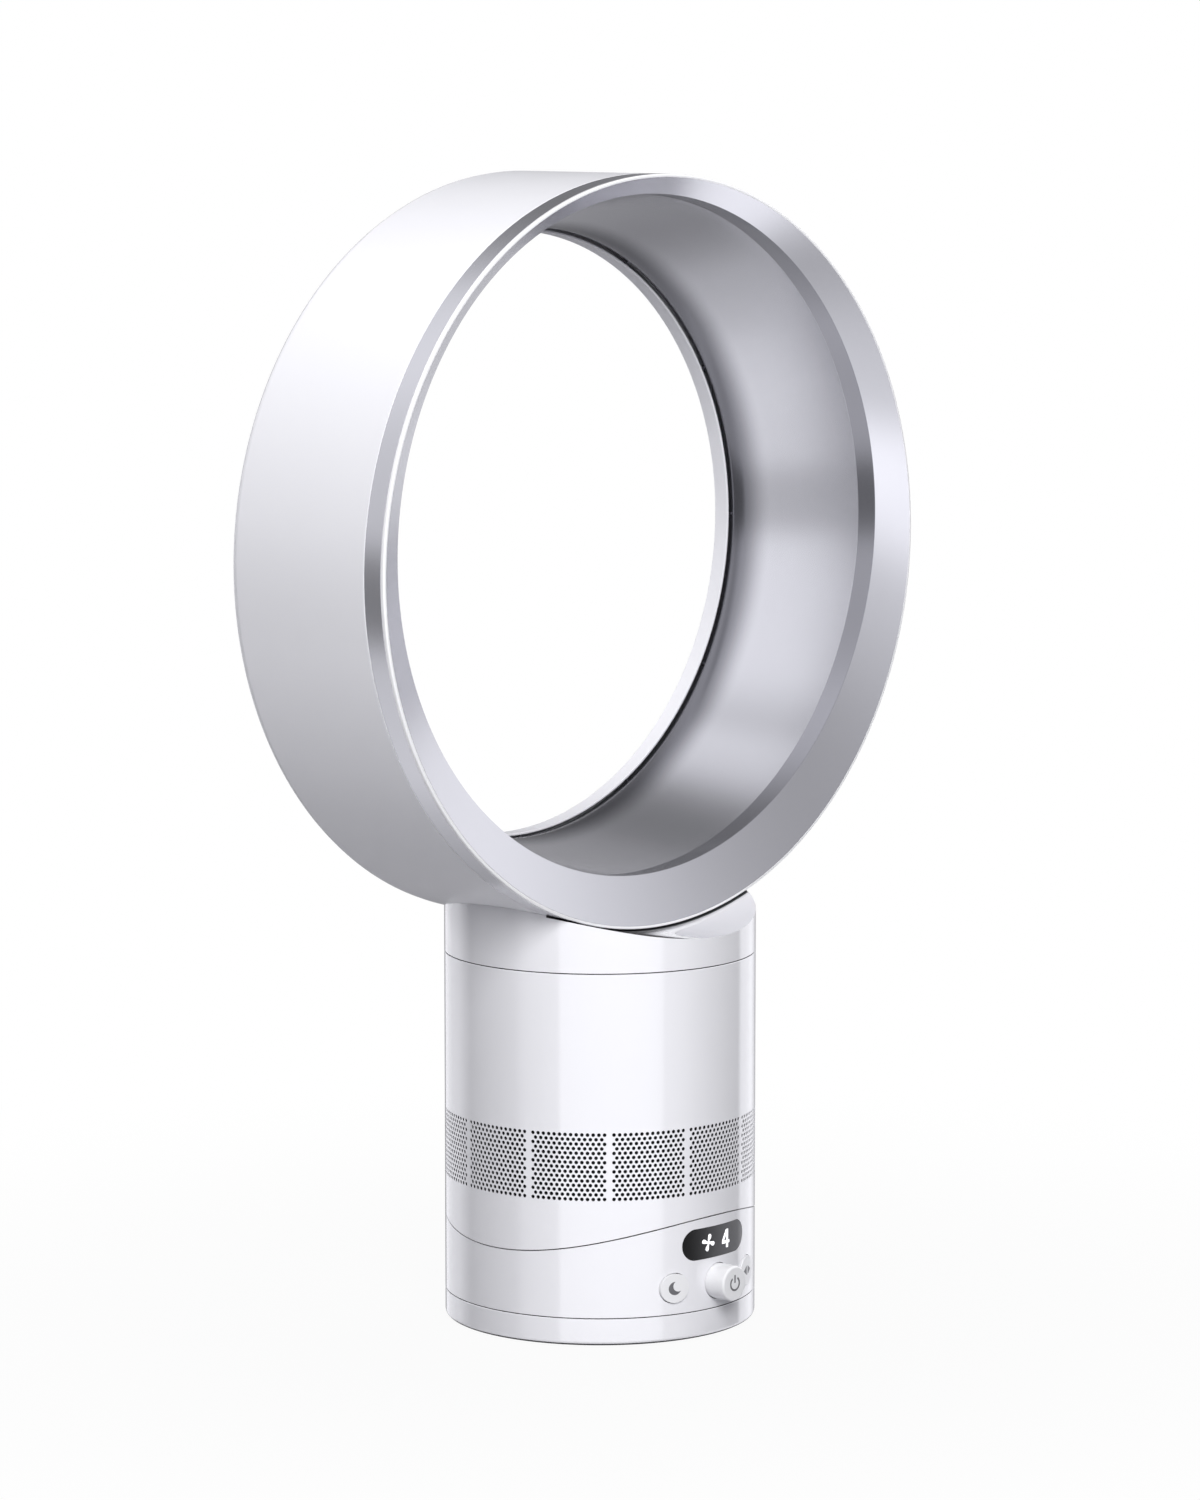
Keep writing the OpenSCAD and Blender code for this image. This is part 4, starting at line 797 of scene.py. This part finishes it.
# Painted shade: a black liner behind the sheet stands in for the shade seen through the holes.
shade_liner_r = 69.4
shade_liner = turned("inlet_shade_liner", [
    (101.5, shade_liner_r, 0), (101.5, shade_liner_r - 0.3, 0), (66.5, shade_liner_r - 0.3, 0), (66.5, shade_liner_r, 0)], 192)
mesh = Finish("shade_liner_black", Roughness=0.9)
mesh.set("Base Color", mesh.blend(mesh.noise(900), (0.006, 0.006, 0.007, 1), (0.02, 0.02, 0.022, 1)))
mesh.bump(mesh.noise(2500), 0.4, 0.05)
deliver(shade_liner, mesh.material, "upper", "foam_charcoal")


# ---- Neck -------------------------------------------------------------------
# The ring stands in a short collar of the same white plastic. The top of the
# collar is hollowed to the ring's underside; under the front rim a small gap is
# left, and the collar's face there is painted near black as shade.

neck_z = 173.25
ring_z = 359.77
oval = 0.942
ring_r = 183.2


def ring_drum(radius, y0, y1):
    """An oval bar along Y with the outline of the ring."""
    drum = rod("ring_drum", radius, y0, y1, "Y", segments=720)
    open_up(drum)
    bpy.ops.transform.resize(value=(1, 1, oval), center_override=(0, 0, 0))
    bpy.ops.transform.translate(value=(0, 0, ring_z * mm))
    bpy.ops.object.mode_set(mode="OBJECT")
    return drum


def under_rim(x, y, z):
    """A mask of the edge that faces the front rim of the ring, where shade is painted near black."""
    return in_seam(x, y, z) * (y > -38.5 * mm) * (y < -26.9 * mm)


neck = rod("neck_collar_shell", body_r, neck_z, 215, segments=360)
carve(neck, [ring_drum(ring_r + 0.03, -100, 100), ring_drum(ring_r + 0.9, -100, -27)])
neck_hollow = rod("neck_hollow", bore_r, neck_z - 2, 220, segments=360)
carve(neck_hollow, [ring_drum(ring_r + 2.8, -110, 110)])
carve(neck, [neck_hollow])
soften_edges(neck, 0.2)
# Painted shade: the collar's face under the ring's front rim is painted near black.
deliver(neck, gloss_white("neck_gloss_white", under_rim), "upper", "shell_white", "ring_neck")


# ---- Ring -------------------------------------------------------------------
# The tall loop is slightly wider than it is high. White casing, silver band
# and pale edge share one outline; the wall inside it is silver and leans, and
# its opening sits a little higher than the outline.

front_y = -38.0
back_y = 58.0
edge_back_y = -36.15
band_front_y = -36.05
band_back_y = -26.1
shell_front_y = -25.85
edge_r = 181.66
mouth_y = -29.5
mouth_r = 165.7
mouth_rise = 7.4
guide_y = -19.1
waist_y = 44.0
waist_r = 151.2
waist_rise = 4.0
round_r = 19.5
lip_y = 50
lip_r = 149.65
slit_r = 150.85
back_inside_y = 55.6


def inner_rise(y):
    """How far the inner wall's middle sits above the outline's, at a depth."""
    return mouth_rise + (waist_rise - mouth_rise) * (y - mouth_y) / (waist_y - mouth_y)


def oval_loop(name, corners, rise=lambda y, r: 0):
    """A closed moulding round the ring; rise says how far each station sits above the middle."""
    return pull_loops(name, "Y", [(y, r, r * oval, ring_z + rise(y, r)) for y, r in rounded(corners)], 320)


def shell_rise(y, r):
    """Nothing at the outline, and all of the inner wall's rise at the lip."""
    return inner_rise(lip_y) * min(1, max(0, (177 - r) / 24))


shell = oval_loop("ring_shell", [
    (shell_front_y, ring_r, 0.25), (back_y, ring_r, 6), (back_y, lip_r, 0.55), (lip_y, lip_r, 0.3),
    (lip_y, slit_r, 0.3), (back_inside_y, slit_r, 0.8), (back_inside_y, ring_r - 2.5, 3.4),
    (shell_front_y, ring_r - 2.5, 0.25)], shell_rise)
deliver(shell, gloss_white("ring_satin_white", polish=0.15), "upper", "shell_white", "ring_casing")


def silver_paint(name, shade_from=None):
    """Silver metallic lacquer on plastic: fine flakes under a satin clear coat.

    From the depth given, in mm, the wall is painted darker over 17 mm, as shade towards the slit;
    the narrow guide at the wall's front is painted darker as shade too."""
    finish = Finish(name, Metallic=0.92, IOR=1.5, Coat_Weight=0.2, Coat_Roughness=0.1)
    flakes = finish.parts(finish.node(
        "ShaderNodeTexVoronoi", {"feature": "F1"}, {"Vector": finish.spot(), "Scale": 2600}, out="Color"))[0]
    tint = finish.blend(flakes * 0.12 + finish.noise(14) * 0.3, (0.62, 0.62, 0.65, 1), (0.70, 0.70, 0.73, 1))
    # Painted shade: darker towards the back of the wall, and on the guide at its front.
    if shade_from:
        depth = finish.parts(finish.spot())[1]
        back_shade = finish.between(depth, shade_from * mm, (shade_from + 17) * mm)
        guide_shade = finish.between(depth, (guide_y + 0.3) * mm, (guide_y - 0.3) * mm)
        tint = finish.blend(back_shade, tint, (0.19, 0.19, 0.21, 1))
        tint = finish.blend(guide_shade, tint, (0.36, 0.36, 0.39, 1))
    finish.set("Base Color", tint)
    finish.set("Roughness", 0.19 + flakes * 0.03 + finish.noise(30) * 0.03)
    return finish.material


band = oval_loop("silver_band", [
    (band_front_y, ring_r, 0.2), (band_back_y, ring_r, 0.25), (band_back_y, ring_r - 2.3, 0.2),
    (band_front_y, ring_r - 2.3, 0.2)])
deliver(band, silver_paint("ring_silver_lacquer"), "upper", "ring_silver", "front_band")

trim = oval_loop("pale_edge", [
    (front_y, edge_r, 0.12), (front_y, ring_r, 0.8), (edge_back_y, ring_r, 0.1), (edge_back_y, edge_r, 0.1)])
# The edge is white plastic, painted a brighter white than the casing as a highlight along the front rim.
pale = Finish("edge_pale_white", IOR=1.5, Coat_Weight=1.0, Coat_Roughness=0.04)
pale.set("Base Color", pale.blend(pale.noise(40), (0.94, 0.94, 0.965, 1), (0.97, 0.97, 0.985, 1)))
pale.set("Roughness", 0.1 + pale.noise(60) * 0.05)
deliver(trim, pale.material, "upper", "shell_white", "front_trim")

flare_r = edge_r - 0.04
flare_back_y = mouth_y - 0.05
flare = oval_loop("silver_flare", [
    (front_y + 0.03, flare_r, 0), (flare_back_y, mouth_r, 0), (flare_back_y, 170.1, 0.2),
    (-31.75, 174.3, 0.3), (-35.5, 177.7, 0.3), (front_y + 0.6, flare_r, 0)],
    lambda y, r: mouth_rise * (y - front_y) / (mouth_y - front_y))
deliver(flare, silver_paint("flare_silver_lacquer"), "upper", "ring_silver", "front_flare")

cone_turn = math.atan((mouth_r - waist_r) / (waist_y - guide_y))
tail_turn = math.asin((53 - waist_y) / round_r)


def shoulder(radius):
    """The round shoulder that the air clings to, seen from its middle."""
    turns = [-cone_turn + (tail_turn + cone_turn) * k / 12 for k in range(13)]
    return [(waist_y + radius * math.sin(turn), waist_r + round_r - radius * math.cos(turn), 0)
            for turn in turns]


wall_t = 2
wall_front_y = mouth_y + 0.05
wall = oval_loop("inner_wall", [(wall_front_y, mouth_r, 0.25), (guide_y, mouth_r, 1.0)]
                 + shoulder(round_r) + shoulder(round_r - wall_t)[::-1]
                 + [(guide_y, mouth_r + wall_t, 0), (wall_front_y, mouth_r + wall_t, 0.25)],
                 lambda y, r: inner_rise(y))
wall_silver = silver_paint("wall_silver_lacquer", shade_from=26)
deliver(wall, wall_silver, "upper", "ring_silver", "ring_diffuser")
dress(wall_silver, "ring_ribs", "slit_spacers")


# ---- Studio -----------------------------------------------------------------
# A white floor that keeps the shadow and fades into the white surroundings.
# What the gloss mirrors is a studio of pale screens and dark flags, told by
# their compass bearing from the camera, in three belts one above the other.

photo_turn = math.radians(48.35)
camera_side = Vector((-math.sin(photo_turn), -math.cos(photo_turn), 0))
picture_right = Vector((math.cos(photo_turn), -math.sin(photo_turn), 0))

clear_bench()
bpy.ops.mesh.primitive_circle_add(vertices=128, radius=1.4, fill_type="NGON")
floor = bpy.context.object
floor.name = "studio_floor"
paint = bpy.data.materials.new("studio_white")
paint.use_nodes = True
paint.node_tree.nodes.clear()
ground = Wiring(paint.node_tree)
floor_x, floor_y, _ = ground.parts(ground.spot())
far = ground.between((floor_x * floor_x + floor_y * floor_y) ** 0.5, 0.1, 0.6, 0.95, 1.0)
matt = ground.node("ShaderNodeBsdfDiffuse", {}, {"Color": (0.32, 0.32, 0.33, 1)})
glow = ground.node("ShaderNodeEmission", {}, {"Color": (1, 1, 1, 1), "Strength": 1.0})
clear = ground.node("ShaderNodeBsdfTransparent")
seen = ground.node("ShaderNodeMixShader", {}, {
    0: ground.node("ShaderNodeLightPath", out="Is Camera Ray") * far, 1: matt, 2: glow})
mirrored = ground.node("ShaderNodeMixShader", {}, {
    0: ground.node("ShaderNodeLightPath", out="Is Glossy Ray"), 1: seen, 2: clear})
ground.node("ShaderNodeOutputMaterial", {}, {"Surface": mirrored})
floor.data.materials.append(paint)

world = bpy.data.worlds.new("studio")
bpy.context.scene.world = world
world.use_nodes = True
world.node_tree.nodes.clear()
sky = Wiring(world.node_tree)
x, y, z = sky.parts(sky.node("ShaderNodeTexCoord", out="Generated"))
level = (x * x + y * y) ** 0.5 + 0.0001
toward = (x * camera_side.x + y * camera_side.y) / level
rightward = (x * picture_right.x + y * picture_right.y) / level
compass = sky.node("ShaderNodeMath", {"operation": "ARCTAN2"}, {0: rightward, 1: toward}) / (2 * math.pi) + 0.5
rise = z / level


def belt(*screens):
    """Grey levels by compass bearing, in degrees to the right of the camera."""
    return sky.node("ShaderNodeValToRGB", {"stops": [
        (0.5 + bearing / 360, (grey, grey, grey * 1.05, 1)) for bearing, grey in screens]}, {0: compass})


level_belt = belt(
    (-180, 0.2), (-169, 0.3), (-161, 1.1), (-128, 1.05), (-117, 0.55), (-111, 0.2), (-66, 0.25), (-57, 0.7),
    (-44, 0.75), (-31.5, 0.85), (-28.5, 1.7), (38, 1.7), (46.5, 1.5), (48.5, 0.88), (62, 0.75),
    (75, 0.45), (90, 0.24), (110, 0.14), (124, 0.25), (129, 1.15), (150, 1.3), (165, 0.6), (180, 0.25))
high_belt = belt(
    (-180, 0.2), (-170, 0.18), (-157, 0.3), (-131, 0.92), (-103, 1.1), (-86, 0.68), (-68, 1.25),
    (-50, 1.15), (0, 1.2), (30, 0.95), (52, 0.78), (63, 0.46), (76, 0.42), (91, 0.56), (105, 0.9),
    (120, 1.2), (140, 1.25), (158, 0.7), (172, 0.42), (180, 0.26))
low_belt = belt(
    (-180, 0.28), (-166, 0.4), (-147, 0.55), (-130, 0.7), (-115, 0.95), (-92, 0.8), (-62, 1.05),
    (-30, 1.0), (20, 1.0), (40, 0.95), (50, 0.6), (67, 0.48), (83, 0.8), (100, 1.4), (125, 1.4),
    (140, 1.3), (155, 0.9), (170, 0.4), (180, 0.28))
studio = sky.blend(sky.between(rise, -0.06, 0.10), level_belt, high_belt)
studio = sky.blend(sky.between(rise, -0.27, -0.47), studio, low_belt)
studio = sky.blend(sky.between(rise, 1.6, 4.0), studio, (0.9, 0.9, 0.95, 1))
studio = sky.blend(sky.between(rise, -1.8, -3.2), studio, (0.6, 0.6, 0.63, 1))
plain = sky.blend(sky.node("ShaderNodeLightPath", out="Is Glossy Ray"), (0.16, 0.16, 0.17, 1), studio)
shown = sky.blend(sky.node("ShaderNodeLightPath", out="Is Camera Ray"), plain, (1, 1, 1, 1))
dome = sky.node("ShaderNodeBackground", {}, {"Color": shown})
sky.node("ShaderNodeOutputWorld", {}, {"Surface": dome})


def soft_lamp(name, place, aim_z, wide, high, power):
    """A rectangular soft lamp that is aimed at a height on the stand's axis; no mirror shows it."""
    data = bpy.data.lights.new(name, "AREA")
    data.shape = "RECTANGLE"
    data.size = wide
    data.size_y = high
    data.energy = power
    lamp = bpy.data.objects.new(name, data)
    lamp.location = place
    lamp.rotation_euler = (Vector((0, 0, aim_z)) - Vector(place)).to_track_quat("-Z", "Y").to_euler()
    lamp.visible_camera = False
    lamp.visible_glossy = False
    bpy.context.collection.objects.link(lamp)


def around_fan(bearing, height):
    """A place 2.3 m from the fan, by its bearing to the right of the camera."""
    turn = math.radians(bearing)
    return (camera_side * math.cos(turn) + picture_right * math.sin(turn)) * 2.3 + Vector((0, 0, height))


soft_lamp("front_lamp", around_fan(7, 1.7), 0.25, 1.4, 1.4, 72)
soft_lamp("right_lamp", around_fan(140, 1.0), 0.25, 1.2, 1.4, 24)
soft_lamp("left_lamp", around_fan(-135, 1.35), 0.25, 1.2, 1.2, 25)
soft_lamp("top_lamp", (0, 0, 2.2), 0.3, 0.9, 0.9, 10)


# ---- Camera -----------------------------------------------------------------
# It stands in front and round to the left, a little higher than the ring, and
# looks down at it, as in the lower view of the photograph.

camera_far = 2.5
camera_high = 0.5903
aim_high = 0.266

camera_data = bpy.data.cameras.new("photo_camera")
camera_data.sensor_fit = "VERTICAL"
camera_data.sensor_height = 24
camera_data.lens = 87.0
camera = bpy.data.objects.new("photo_camera", camera_data)
bpy.context.collection.objects.link(camera)
camera.location = camera_side * camera_far + Vector((0, 0, camera_high))
camera.rotation_euler = (Vector((0, 0, aim_high)) - camera.location).to_track_quat("-Z", "Y").to_euler()
bpy.context.scene.camera = camera
bpy.context.scene.view_settings.view_transform = "Standard"
